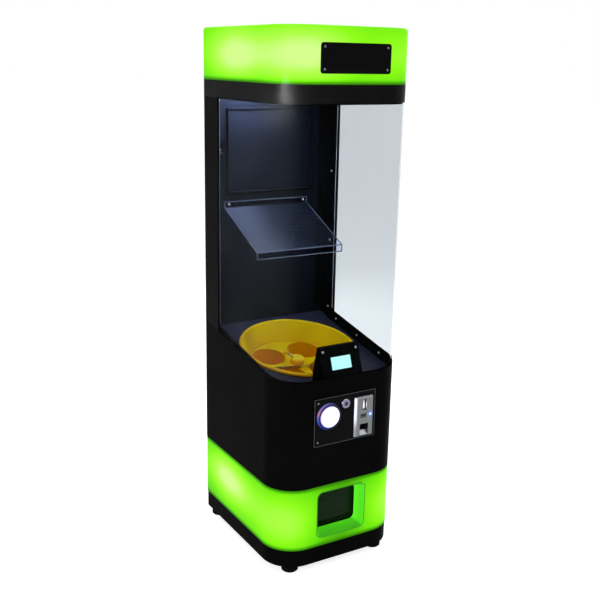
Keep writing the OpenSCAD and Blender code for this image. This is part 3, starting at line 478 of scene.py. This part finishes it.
def lamp(name, colour, strength):
    """Lit plastic: a diffuser whose light is a little uneven."""
    f = Finish(name, base_color=(0.8, 0.8, 0.8), roughness=0.3)
    dim = shades(colour, 0.9)[0]
    f.give("Emission Color", f.ramp(f.noise(30.0, 2.0), (0.35, dim), (0.65, colour)))
    f.give("Emission Strength", strength)
    return f.material


def button_light(name):
    """Lit dome: white over the lamp, falling to violet at its rim."""
    low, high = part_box("button_dome")
    radius = (high.x - low.x) / 2
    f = Finish(name, base_color=(0.8, 0.8, 0.85), roughness=0.25)
    local = f.place(at=(low + high) / 2, scale=(1 / radius, 0.0, 1 / radius))
    out = f.vector("LENGTH", local, (0, 0, 0), "Value")
    glow = f.math("ADD", out, f.math("MULTIPLY", f.noise(40.0, 2.0), 0.04))
    f.give(
        "Emission Color",
        f.ramp(glow, (0.80, (0.98, 0.98, 1.0)), (0.93, (0.80, 0.72, 1.0)), (0.99, (0.16, 0.13, 0.55))),
    )
    f.give("Emission Strength", 1.6)
    return f.material


def display_glass(name):
    """Lit screen with a fine dot raster and a darker blue-green rim."""
    low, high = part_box("lcd_screen")
    middle = (low + high) / 2
    f = Finish(name, base_color=(0.02, 0.05, 0.05), roughness=0.12)
    local = f.place(at=middle)
    raster = f.node(
        "ShaderNodeTexBrick",
        {
            "Vector": f.place(turn=(math.pi / 2, 0.0, 0.0)), "Scale": 1.0, "Mortar Size": 0.00008,
            "Brick Width": 0.0011, "Row Height": 0.0011,
            "Color1": (0.46, 0.98, 0.97), "Color2": (0.50, 1.0, 0.98), "Mortar": (0.36, 0.80, 0.80),
        },
        offset=0.0,
    ).outputs["Color"]
    across = f.math("ABSOLUTE", f.axis(local, 0))
    rim = f.span(across, 0.0315, 0.0348)
    f.give("Emission Color", f.blend(rim, raster, (0.18, 0.72, 0.74)))
    f.give("Emission Strength", 1.5)
    return f.material


def circuit_board(name):
    """Green solder mask over a maze of copper tracks."""
    f = Finish(name, roughness=0.35)
    tracks = f.node(
        "ShaderNodeTexBrick",
        {"Vector": f.place(turn=(0.0, math.pi / 2, 0.0)), "Scale": 1.0, "Mortar Size": 0.0005,
         "Brick Width": 0.012, "Row Height": 0.004},
    ).outputs["Fac"]
    f.give("Base Color", f.ramp(tracks, (0.0, (0.012, 0.10, 0.03)), (1.0, (0.03, 0.2, 0.06))))
    f.relief(tracks, 0.00004)
    return f.material


def lower_lamps():
    """Soft spots of the lower band: two on each side wall, one at each front corner, a dull front."""
    middle = (BAND_LOW.z + BAND_HIGH.z) / 2
    mouth = (MOUTH_LOW.z + MOUTH_HIGH.z) / 2
    strip_y, strip_z = 0.085, middle + 0.012
    corner_x, corner_y, corner_z = 0.175, -0.205, middle - 0.01
    spots = []
    for side in (-1, 1):
        spots.append(((side * HALF_W, strip_y, strip_z), (0.2, 0.15, 0.07), 0.75))
        spots.append(((side * HALF_W, 0.0, middle), (0.2, 0.40, 0.14), 0.32))
        spots.append(((side * corner_x, corner_y, corner_z), (0.10, 0.12, 0.10), 0.42))
    spots.append(((0.0, FRONT_Y, middle), (0.25, 0.1, 0.16), 0.16))
    spots.append(((0.0, FRONT_Y, mouth), (0.115, 0.05, 0.11), -0.22))
    return spots


def top_lamps():
    """Soft spots of the box on top, level with its lamp strips."""
    middle = (BOX_LOW.z + BOX_HIGH.z) / 2
    strip_y, strip_z = 0.03, middle - 0.005
    corner_x, corner_y = 0.15, -0.22
    spots = []
    for side in (-1, 1):
        spots.append(((side * HALF_W, strip_y, strip_z), (0.2, 0.18, 0.075), 0.95))
        spots.append(((side * corner_x, corner_y, middle), (0.13, 0.13, 0.075), 0.55 - side * 0.25))
    spots.append(((0.0, FRONT_Y, middle - 0.02), (0.3, 0.2, 0.12), 0.25))
    spots.append(((0.0, BACK_Y, middle), (0.3, 0.2, 0.12), 0.4))
    spots.append(((0.0, 0.0, BOX_HIGH.z), (0.3, 0.3, 0.05), 0.3))
    return spots


# Painted light: a lighter, less metallic copy of the zinc, for the screws inside the bay to read as lit.
PAINTED_LIT_ZINC = metal("bright_zinc", (0.80, 0.81, 0.84), 0.3, shine=0.4)
DARK_ZINC = metal("dark_zinc", (0.17, 0.17, 0.18), 0.3)
# Painted highlights: the light tones of the beads along the shelf's, the control plate's and the clamps'
# edges.
EDGE_LIGHT = polished_edge("edge_light", (0.11, 0.125, 0.16))
EDGE_GREY = polished_edge("edge_grey", (0.07, 0.07, 0.08))
PAINTED_HIGHLIGHT_PALE = polished_edge("edge_pale", (0.40, 0.43, 0.48))
LIP_STEEL = slot_lips("lip_steel")
BAY_LAMP = lamp("bay_lamp", (0.8, 0.9, 1.0), 30.0)
YELLOW = yellow_plastic("yellow_plastic")
FINISHES = {
    powder_black("powder_black"): (
        "plinth", "body_floor", "body_shell", "window_clamps", "ceiling_plate", "service_door",
        "display_housing", "prize_bin", "drop_chute",
    ),
    powder_black("post_black", gloss=0.006): ("left_post", "right_post"),
    powder_black("band_satin", tone=0.002, rough=0.44, gloss=0.03): ("upper_band",),
    powder_black("panel_black", tone=(0.006, 0.007, 0.010), gloss=0.008, peel=0.000001): (
        "back_panel", "restock_door",
    ),
    # The deck's blue tint is painted light: the blue of the bay's lamps falling on it.
    powder_black("deck_paint", tone=(0.018, 0.018, 0.032), rough=0.4, gloss=0.12, peel=0.00001): (
        "deck_plate",
    ),
    moulded("white_paint", (0.75, 0.77, 0.74), 0.45): ("lower_frame",),
    lit_acrylic("lit_band", lower_lamps(), (BAND_LOW.z, PAINTED_EDGE_SHADE), (BAND_HIGH.z, -PAINTED_EDGE_SHADE)): (
        "lower_light_band",
    ),
    lit_acrylic("lit_box", top_lamps(), (BOX_LOW.z, PAINTED_EDGE_SHADE)): ("top_light_box",),
    lit_surround("lit_surround"): ("prize_surround",),
    clear_acrylic("clear_window", (0.72, 0.75, 0.77), 1.01, 0.0, 0.005, window_painted_veil): ("window",),
    # The shelf's blue tint is painted light: the blue of the bay's lamps on the sheet.
    clear_acrylic("clear_shelf", (0.74, 0.80, 1.0), 1.02, 0.0, 0.01, shelf_haze): ("ramp_shelf",),
    smoked_acrylic("smoked_flap"): ("prize_door",),
    black_gloss("black_acrylic"): ("sign_plate", "control_plate"),
    YELLOW: ("hopper_bowl", "wheel_base_plate", "capsule_wheel"),
    yellow_plastic("yellow_knob", (0.76, 0.55, 0.02)): ("hub_cap", "agitator_knob"),
    PAINTED_LIT_ZINC: ("face_screws",),
    metal("plain_steel", (0.62, 0.63, 0.65), 0.28): (
        "agitator_rod", "wheel_shaft", "stripper_bar", "motor_bracket", "prize_door_pin", "coin_box",
    ),
    metal("dark_steel", (0.16, 0.16, 0.17), 0.4): ("restock_hinges", "service_hinges"),
    metal("lock_body", (0.22, 0.22, 0.24), 0.3): ("restock_lock", "service_lock"),
    metal("key_ring", (0.20, 0.19, 0.27), 0.22): ("key_barrel",),
    metal("key_steel", (0.06, 0.06, 0.08), 0.3): ("key_plug",),
    powder_black("black_oxide", tone=0.003, rough=0.5, gloss=0.002, peel=0.00001): (
        "restock_lock_plug", "service_lock_plug",
    ),
    metal("motor_steel", (0.42, 0.43, 0.45), 0.35): ("gear_motor",),
    cast_zinc("cast_zinc"): ("coin_face",),
    metal("button_zinc", (0.09, 0.09, 0.10), 0.4): ("coin_reject_button",),
    moulded("black_plastic", (0.02, 0.02, 0.022)): ("coin_mech", "power_inlet", "button_switch"),
    bezel_light("bezel_light"): ("button_bezel",),
    button_light("button_light"): ("button_dome",),
    lamp("blue_light", (0.45, 0.75, 1.0), 3.0): ("coin_led",),
    lamp("strip_light", (0.9, 0.95, 1.0), 1.5): ("lower_led_strips", "top_led_strips"),
    lamp("bay_light", (0.8, 0.9, 1.0), 4.0): ("ceiling_light",),
    display_glass("display_glass"): ("lcd_screen",),
    circuit_board("circuit_board"): ("control_board",),
    galvanised("zinc_spangle"): ("power_supply",),
    moulded("foot_rubber", (0.005, 0.005, 0.005), 0.7, gloss=0.02): ("feet",),
}


def dress_nodes():
    """Gives every solid of the frame its finish; light goes straight through the clear shelf."""
    for material, names in FINISHES.items():
        for name in names:
            NODES[name].data.materials.clear()
            NODES[name].data.materials.append(material)
    NODES["ramp_shelf"].visible_shadow = False


class Grown(Tree):
    """A geometry tree with named sizes, run on a start mesh to make one plain piece."""

    def __init__(self, name, **sizes):
        super().__init__(bpy.data.node_groups.new(name, "GeometryNodeTree"))
        sockets = self.tree.interface
        for way in ("INPUT", "OUTPUT"):
            sockets.new_socket("Geometry", in_out=way, socket_type="NodeSocketGeometry")
        for key, value in sizes.items():
            made = sockets.new_socket(key, in_out="INPUT", socket_type="NodeSocketFloat")
            made.default_value = value
        self.given = self.node("NodeGroupInput").outputs

    def smooth(self, geometry, sharp=0.6):
        """Smooth shading, with edges sharper than an angle kept hard."""
        soft = self.node("GeometryNodeSetShadeSmooth", {"Geometry": geometry}).outputs[0]
        angle = self.node("GeometryNodeInputMeshEdgeAngle").outputs[0]
        hard = self.node("FunctionNodeCompare", {0: angle, 1: sharp}, operation="GREATER_THAN").outputs[0]
        return self.node(
            "GeometryNodeSetShadeSmooth",
            {"Geometry": soft, "Selection": hard, "Shade Smooth": False},
            domain="EDGE",
        ).outputs[0]

    def moved(self, geometry, way):
        return self.node("GeometryNodeTransform", {"Geometry": geometry, "Translation": way}).outputs[0]

    def stand(self, shape, radius, height):
        """One shape at each start point, sized by two named sizes, turned to the point's facing."""
        wide, tall = self.given[radius], self.given[height]
        size = self.node("ShaderNodeCombineXYZ", {0: wide, 1: wide, 2: tall}).outputs[0]
        facing = self.node("GeometryNodeInputNamedAttribute", {"Name": "facing"}, data_type="FLOAT_VECTOR")
        turn = self.node("FunctionNodeAlignRotationToVector", {"Vector": facing.outputs[0]}, axis="Z")
        return self.node(
            "GeometryNodeInstanceOnPoints",
            {
                "Points": self.given["Geometry"], "Instance": self.smooth(shape),
                "Rotation": turn.outputs[0], "Scale": size,
            },
        ).outputs[0]

    def close(self, geometry, material):
        """Ends the tree: real geometry in one material."""
        real = self.node("GeometryNodeRealizeInstances", {0: geometry}).outputs[0]
        dressed = self.node("GeometryNodeSetMaterial", {0: real, "Material": material}).outputs[0]
        self.node("NodeGroupOutput", {0: dressed})
        return self

    def make(self, name, start, body, slot, **sizes):
        """Runs the tree on the start mesh and lets the plain result ride on a body."""
        piece = bpy.data.objects.new(name, start)
        bpy.context.scene.collection.objects.link(piece)
        modifier = piece.modifiers.new("grown", "NODES")
        modifier.node_group = self.tree
        for item in self.tree.interface.items_tree:
            if item.in_out == "INPUT" and item.name in sizes:
                modifier[item.identifier] = sizes[item.name]
        ready = piece.evaluated_get(bpy.context.evaluated_depsgraph_get())
        mesh = bpy.data.meshes.new_from_object(ready)
        piece.modifiers.remove(modifier)
        piece.data = mesh
        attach(piece, body)
        return piece


def ball(tree, segments, rings):
    sizes = {"Segments": segments, "Rings": rings, "Radius": 1.0}
    return tree.node("GeometryNodeMeshUVSphere", sizes).outputs["Mesh"]


def screw_tree(name, material):
    """Domed heads with a six-sided socket, one at each start point, turned to its facing direction."""
    g = Grown(name, head_radius=0.0035, head_height=0.0022)
    below = g.node("GeometryNodeMeshCube", {"Size": (3.0, 3.0, 2.0)}).outputs["Mesh"]
    socket = {"Vertices": 6, "Radius": 0.48, "Depth": 1.2}
    hexagon = g.node("GeometryNodeMeshCylinder", socket).outputs["Mesh"]
    cut = g.node(
        "GeometryNodeMeshBoolean", {"Mesh 1": ball(g, 28, 16)}, operation="DIFFERENCE", solver="EXACT"
    )
    g.feed(cut, "Mesh 2", g.moved(below, (0.0, 0.0, -1.0)))
    g.feed(cut, "Mesh 2", g.moved(hexagon, (0.0, 0.0, 1.0)))
    return g.close(g.stand(cut.outputs["Mesh"], "head_radius", "head_height"), material)


def dome_tree(name, material):
    """A low round dome at each start point, turned to its facing direction."""
    g = Grown(name, dome_radius=0.006, dome_height=0.004)
    return g.close(g.stand(ball(g, 20, 12), "dome_radius", "dome_height"), material)


def bead_tree(name, material):
    """A round bead along every edge of the start mesh."""
    g = Grown(name, bead_radius=0.0008)
    path = g.node("GeometryNodeMeshToCurve", {"Mesh": g.given["Geometry"]}).outputs[0]
    section = g.node(
        "GeometryNodeCurvePrimitiveCircle", {"Resolution": 8, "Radius": g.given["bead_radius"]}
    ).outputs[0]
    bead = g.node(
        "GeometryNodeCurveToMesh", {"Curve": path, "Profile Curve": section, "Fill Caps": True}
    ).outputs[0]
    return g.close(g.smooth(bead, 1.0), material)


def seats(name, places):
    """Start mesh of points: each place is (base centre, facing direction)."""
    mesh = bpy.data.meshes.new(name)
    mesh.from_pydata([at for at, _ in places], [], [])
    facing = mesh.attributes.new("facing", "FLOAT_VECTOR", "POINT")
    for row, (_, way) in zip(facing.data, places):
        row.vector = way
    return mesh


def wires(name, *runs):
    """Start mesh of edges: each run is a list of points, closed where its last point is its first."""
    points, edges = [], []
    for run in runs:
        first = len(points)
        closed = run[0] == run[-1]
        kept = run[:-1] if closed else run
        points += kept
        edges += [(i, i + 1) for i in range(first, len(points) - 1)]
        if closed:
            edges.append((len(points) - 1, first))
    mesh = bpy.data.meshes.new(name)
    mesh.from_pydata(points, edges, [])
    return mesh


def shells(node):
    """Faces of each separate solid in a node, from a merged copy of its mesh."""
    copy = bmesh.new()
    copy.from_mesh(NODES[node].data)
    bmesh.ops.remove_doubles(copy, verts=copy.verts, dist=1e-6)
    left = set(copy.faces)
    while left:
        shell, reached = set(), {next(iter(left))}
        while reached:
            shell |= reached
            reached = {n for f in reached for e in f.edges for n in e.link_faces} - shell
        left -= shell
        yield list(shell)
    copy.free()


def screw_places(node):
    """Base centre and outward direction of each screw in a node: its base is its largest flat face."""
    places = []
    for faces in shells(node):
        areas = {}
        for face in faces:
            key = tuple(round(c, 2) for c in face.normal)
            areas[key] = areas.get(key, 0.0) + face.calc_area()
        base = Vector(max(areas, key=areas.get)).normalized()
        flat = [face for face in faces if face.normal.dot(base) > 0.999]
        total = sum(face.calc_area() for face in flat)
        centre = sum((face.calc_center_median() * face.calc_area() for face in flat), Vector()) / total
        places.append((centre, -base))
    return sorted(places, key=lambda place: tuple(place[0]))


def plate_edge(node, corner, inset):
    """Closed run round the front edge of an upright plate with round corners."""
    low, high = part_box(node)
    steps = 6
    run = []
    for turn, x, z in ((0, high.x, high.z), (1, low.x, high.z), (2, low.x, low.z), (3, high.x, low.z)):
        middle_x = x - math.copysign(corner, x - (low.x + high.x) / 2)
        middle_z = z - math.copysign(corner, z - (low.z + high.z) / 2)
        for i in range(steps + 1):
            angle = math.radians(90 * (turn + i / steps))
            reach = corner - inset
            run.append((middle_x + reach * math.cos(angle), low.y, middle_z + reach * math.sin(angle)))
    return run + [run[0]]


def shelf_runs():
    """Cut edges of the ramp shelf: both side profiles, the flange's top and the lip's two edges."""
    low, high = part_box("ramp_shelf")
    half = SHELF_SHEET / 2
    fold_front = (low.y + half, low.z + SHELF_LIP - half)
    fall = (high.y - half - fold_front[0]) * math.tan(math.radians(SHELF_FALL))
    fold_back = (high.y - half, fold_front[1] + fall)
    profile = [(high.y - half, high.z - half), fold_back, fold_front, (low.y + half, low.z + half)]
    sides = [[(x, y, z) for y, z in profile] for x in (low.x, high.x)]
    across = [[(low.x, y, z), (high.x, y, z)] for y, z in (profile[0], profile[2], profile[3])]
    return sides + across


def clamp_runs():
    """Upright front edges of the two rear clamp strips, from the deck to the band."""
    low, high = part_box("window_clamps")
    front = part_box("right_post")[0].y + CLAMP_SETBACK
    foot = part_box("deck_plate")[1].z + CLAMP_FOOT
    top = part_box("upper_band")[0].z
    return [[(x, front, foot), (x, front, top)] for x in (low.x + CLAMP_SHEET, high.x - CLAMP_SHEET)]


def rear_screws():
    """Rows of screws down both edges of the back panel."""
    low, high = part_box("back_panel")
    count = 8
    rows = []
    for x in (low.x + REAR_SCREW_INSET, high.x - REAR_SCREW_INSET):
        for i in range(count):
            z = low.z + REAR_SCREW_INSET + (high.z - low.z - 2 * REAR_SCREW_INSET) * i / (count - 1)
            rows.append((Vector((x, high.y, z)), Vector((0.0, 1.0, 0.0))))
    return rows


def pocket_edges():
    """Start mesh of the edges where the capsule wheel's top face falls into its pockets."""
    wheel = bmesh.new()
    wheel.from_mesh(NODES["capsule_wheel"].data)
    bmesh.ops.remove_doubles(wheel, verts=wheel.verts, dist=1e-6)
    level = [f for f in wheel.faces if f.normal.dot(WHEEL_AXIS) > 0.999]
    top = max(f.calc_center_median().dot(WHEEL_AXIS) for f in level)
    face = {f for f in level if f.calc_center_median().dot(WHEEL_AXIS) > top - 0.001}
    lines = []
    for edge in wheel.edges:
        middle = (edge.verts[0].co + edge.verts[1].co) / 2 - WHEEL_AT
        reach = (middle - WHEEL_AXIS * middle.dot(WHEEL_AXIS)).length
        if len(face.intersection(edge.link_faces)) == 1 and reach < POCKET_REACH:
            lines.append(edge)
    corners = list({v for edge in lines for v in edge.verts})
    corners.sort(key=lambda v: tuple(v.co))
    row = {v: i for i, v in enumerate(corners)}
    mesh = bpy.data.meshes.new("pocket_path")
    pairs = sorted(tuple(sorted(row[v] for v in edge.verts)) for edge in lines)
    mesh.from_pydata([tuple(v.co) for v in corners], pairs, [])
    wheel.free()
    return mesh


def ceiling_seats():
    """Lamps along the underside of the ceiling light."""
    low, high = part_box("ceiling_light")
    count = 4
    step = (high.x - low.x) / count
    middle_y = (low.y + high.y) / 2
    down = Vector((0.0, 0.0, -1.0))
    return [(Vector((low.x + step * (i + 0.5), middle_y, low.z)), down) for i in range(count)]


def add_slot_lips():
    """Two raised half-moon lips beside the coin slot."""
    low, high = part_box("coin_face")
    middle = Vector((low.x + SLOT_FROM_LEFT, low.y + DISH_DEPTH, high.z - SLOT_FROM_TOP))
    lips = bmesh.new()
    for side in (-1, 1):
        start = set(lips.verts)
        bmesh.ops.create_uvsphere(lips, u_segments=32, v_segments=20, radius=1.0)
        corners = [v for v in lips.verts if v not in start]
        bmesh.ops.scale(lips, verts=corners, vec=LIP_REACH)
        edges = [e for e in lips.edges if e.verts[0] in corners]
        faces = [f for f in lips.faces if f.verts[0] in corners]
        cut = bmesh.ops.bisect_plane(
            lips, geom=corners + edges + faces, plane_co=(0, 0, 0), plane_no=(-side, 0, 0),
            clear_outer=True, dist=1e-7,
        )
        open_edges = [e for e in cut["geom_cut"] if isinstance(e, bmesh.types.BMEdge)]
        bmesh.ops.holes_fill(lips, edges=open_edges)
        kept = [v for v in lips.verts if v not in start]
        bmesh.ops.translate(lips, verts=kept, vec=middle + Vector((side * SLOT_HALF, 0.0, 0.0)))
    bmesh.ops.recalc_face_normals(lips, faces=lips.faces)
    mesh = bpy.data.meshes.new("coin_slot_lips")
    lips.to_mesh(mesh)
    lips.free()
    mesh.materials.append(LIP_STEEL)
    mesh.shade_smooth()
    piece = bpy.data.objects.new("coin_slot_lips", mesh)
    bpy.context.scene.collection.objects.link(piece)
    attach(piece, "cabinet")


def add_hardware():
    """Screw heads, some in a lighter zinc as painted light, beads of painted highlight along sheet edges,
    pocket rims, ceiling lamps and coin slot lips.
    """
    # Painted light: screws inside the bay take the lighter zinc copy, the others the dark one.
    bright = screw_tree("bright_heads", PAINTED_LIT_ZINC)
    dark = screw_tree("dark_heads", DARK_ZINC)
    places = screw_places("face_screws")
    inside = [place for place in places if place[0].y > FRONT_Y]
    faces = bright.make("bay_screw_heads", seats("bay_seats", inside), "cabinet", "steel")
    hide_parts("face_screws")
    outside = [place for place in places if place[0].y <= FRONT_Y]
    dark.make("plate_screw_heads", seats("plate_seats", outside), "cabinet", "steel")
    dark.make(
        "rear_screw_heads", seats("rear_seats", rear_screws()), "cabinet", "steel",
        head_radius=REAR_HEAD_RADIUS, head_height=REAR_HEAD_HEIGHT,
    )
    light = bead_tree("light_bead", EDGE_LIGHT)
    shelf_path = wires("shelf_path", *shelf_runs())
    shelf_bead = SHELF_SHEET / 2 + EDGE_PROUD
    light.make("shelf_edges", shelf_path, "cabinet", "clear_acrylic", bead_radius=shelf_bead)
    grey = bead_tree("grey_bead", EDGE_GREY)
    plate_path = wires("plate_path", plate_edge("control_plate", PLATE_CORNER, PLATE_EDGE_INSET))
    grey.make("control_plate_edge", plate_path, "cabinet", "black_acrylic", bead_radius=PLATE_BEAD)
    pale = bead_tree("pale_bead", PAINTED_HIGHLIGHT_PALE)
    # Painted highlight: a pale bead down the front edge of each clamp strip.
    clamp_path = wires("clamp_path", *clamp_runs())
    pale.make("clamp_edges", clamp_path, "cabinet", "black_steel", bead_radius=CLAMP_BEAD)
    yellow = bead_tree("yellow_bead", YELLOW)
    yellow.make("pocket_rims", pocket_edges(), "wheel", "yellow_plastic", bead_radius=POCKET_BEAD)
    lamps = dome_tree("lamp_domes", BAY_LAMP)
    lamps.make("ceiling_lamps", seats("lamp_seats", ceiling_seats()), "cabinet", "lamp_white")
    add_slot_lips()


def add_camera():
    """Camera at the photograph's place."""
    data = bpy.data.cameras.new("photo_camera")
    data.lens = CAMERA_LENS
    data.sensor_width = 36.0
    data.clip_start = 0.05
    data.clip_end = 60.0
    camera = bpy.data.objects.new("photo_camera", data)
    bpy.context.scene.collection.objects.link(camera)
    turn = Matrix.Rotation(math.radians(-CAMERA_YAW), 4, "Z")
    tip = Matrix.Rotation(math.radians(90.0 - CAMERA_PITCH), 4, "X")
    roll = Matrix.Rotation(math.radians(CAMERA_ROLL), 4, "Z")
    camera.matrix_world = Matrix.Translation(CAMERA_AT) @ turn @ tip @ roll
    bpy.context.scene.camera = camera


def area_lamp(name, at, target, size, watts, colour=(1.0, 1.0, 1.0), spread=180.0):
    """Rectangular soft lamp at one point, facing another, out of sight itself, also through clear sheet.

    A spread under 180 degrees narrows its beam.
    """
    data = bpy.data.lights.new(name, "AREA")
    data.shape = "RECTANGLE"
    data.size, data.size_y = size
    data.energy = watts
    data.color = colour
    data.spread = math.radians(spread)
    made = bpy.data.objects.new(name, data)
    bpy.context.scene.collection.objects.link(made)
    made.visible_camera = made.visible_transmission = False
    aim = Vector(target) - Vector(at)
    made.matrix_world = Matrix.Translation(at) @ aim.to_track_quat("-Z", "Y").to_matrix().to_4x4()


def add_lights():
    """Soft studio lamps round the cabinet, and two cool lamps under its ceiling."""
    area_lamp("key_lamp", at=(-2.62, -1.42, 1.3), target=(0.0, 0.0, 1.3), size=(0.45, 1.5), watts=20.0)
    area_lamp(
        "head_lamp", at=(-1.53, -0.63, 1.36), target=(-0.19, -0.22, 1.40), size=(0.16, 0.08), watts=0.6,
        spread=7.0,
    )
    area_lamp("fill_lamp", at=(2.6, -1.8, 2.2), target=(0.0, 0.0, 0.8), size=(1.6, 1.6), watts=8.0)
    area_lamp("back_lamp", at=(0.9, 3.0, 1.9), target=(0.0, 0.0, 0.9), size=(1.6, 1.6), watts=30.0)
    area_lamp("top_lamp", at=(0.0, 0.0, 4.5), target=(0.0, 0.0, 0.0), size=(3.5, 3.5), watts=90.0)
    light_low, light_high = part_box("ceiling_light")
    middle = (light_low + light_high) / 2
    area_lamp(
        "bay_lamp", at=(middle.x, middle.y, light_low.z - 0.004), target=(0.0, -0.02, 0.6),
        size=(0.22, 0.02), watts=4.2, colour=(0.70, 0.82, 1.0),
    )
    area_lamp(
        "wall_lamp", at=(-0.09, 0.14, light_low.z - 0.012), target=(-0.11, BACK_Y, light_low.z - 0.09),
        size=(0.16, 0.02), watts=2.6, colour=(0.60, 0.68, 1.0), spread=150.0,
    )


def background_rays(tree):
    """1 for rays that see the backdrop directly, in gloss or through clear sheet; 0 for light."""
    path = tree.nodes.new("ShaderNodeLightPath")
    total = path.outputs["Is Camera Ray"]
    for name in ("Is Glossy Ray", "Is Transmission Ray"):
        both = tree.nodes.new("ShaderNodeMath")
        both.operation = "MAXIMUM"
        tree.links.new(total, both.inputs[0])
        tree.links.new(path.outputs[name], both.inputs[1])
        total = both.outputs[0]
    return total


def add_world():
    """White surroundings to look at, softer as a source of light."""
    ambient = 0.35
    world = bpy.data.worlds.new("studio")
    bpy.context.scene.world = world
    world.use_nodes = True
    tree = world.node_tree
    strength = tree.nodes.new("ShaderNodeMapRange")
    strength.inputs["To Min"].default_value = ambient
    tree.links.new(background_rays(tree), strength.inputs["Value"])
    backdrop = tree.nodes["Background"]
    backdrop.inputs["Color"].default_value = (1.0, 1.0, 1.0, 1.0)
    tree.links.new(strength.outputs["Result"], backdrop.inputs["Strength"])


def add_floor():
    """Pale floor that reads as white and keeps the cabinet's shadow."""
    reach = 30.0
    whitening = 0.80
    mesh = bpy.data.meshes.new("floor")
    corners = [(-reach, -reach, 0.0), (reach, -reach, 0.0), (reach, reach, 0.0), (-reach, reach, 0.0)]
    mesh.from_pydata(corners, [], [(0, 1, 2, 3)])
    floor = bpy.data.objects.new("floor", mesh)
    bpy.context.scene.collection.objects.link(floor)
    f = Finish("pale_floor", roughness=0.9, specular_ior_level=0.0)
    f.give("Base Color", f.ramp(f.noise(2.0, 3.0), (0.3, 0.78), (0.7, 0.82)))
    f.give("Emission Color", (1.0, 1.0, 1.0))
    f.give("Emission Strength", f.math("MULTIPLY", background_rays(f.tree), whitening))
    mesh.materials.append(f.material)


bpy.context.scene.view_settings.view_transform = "Standard"
dress_nodes()
add_hardware()
add_camera()
add_lights()
add_world()
add_floor()
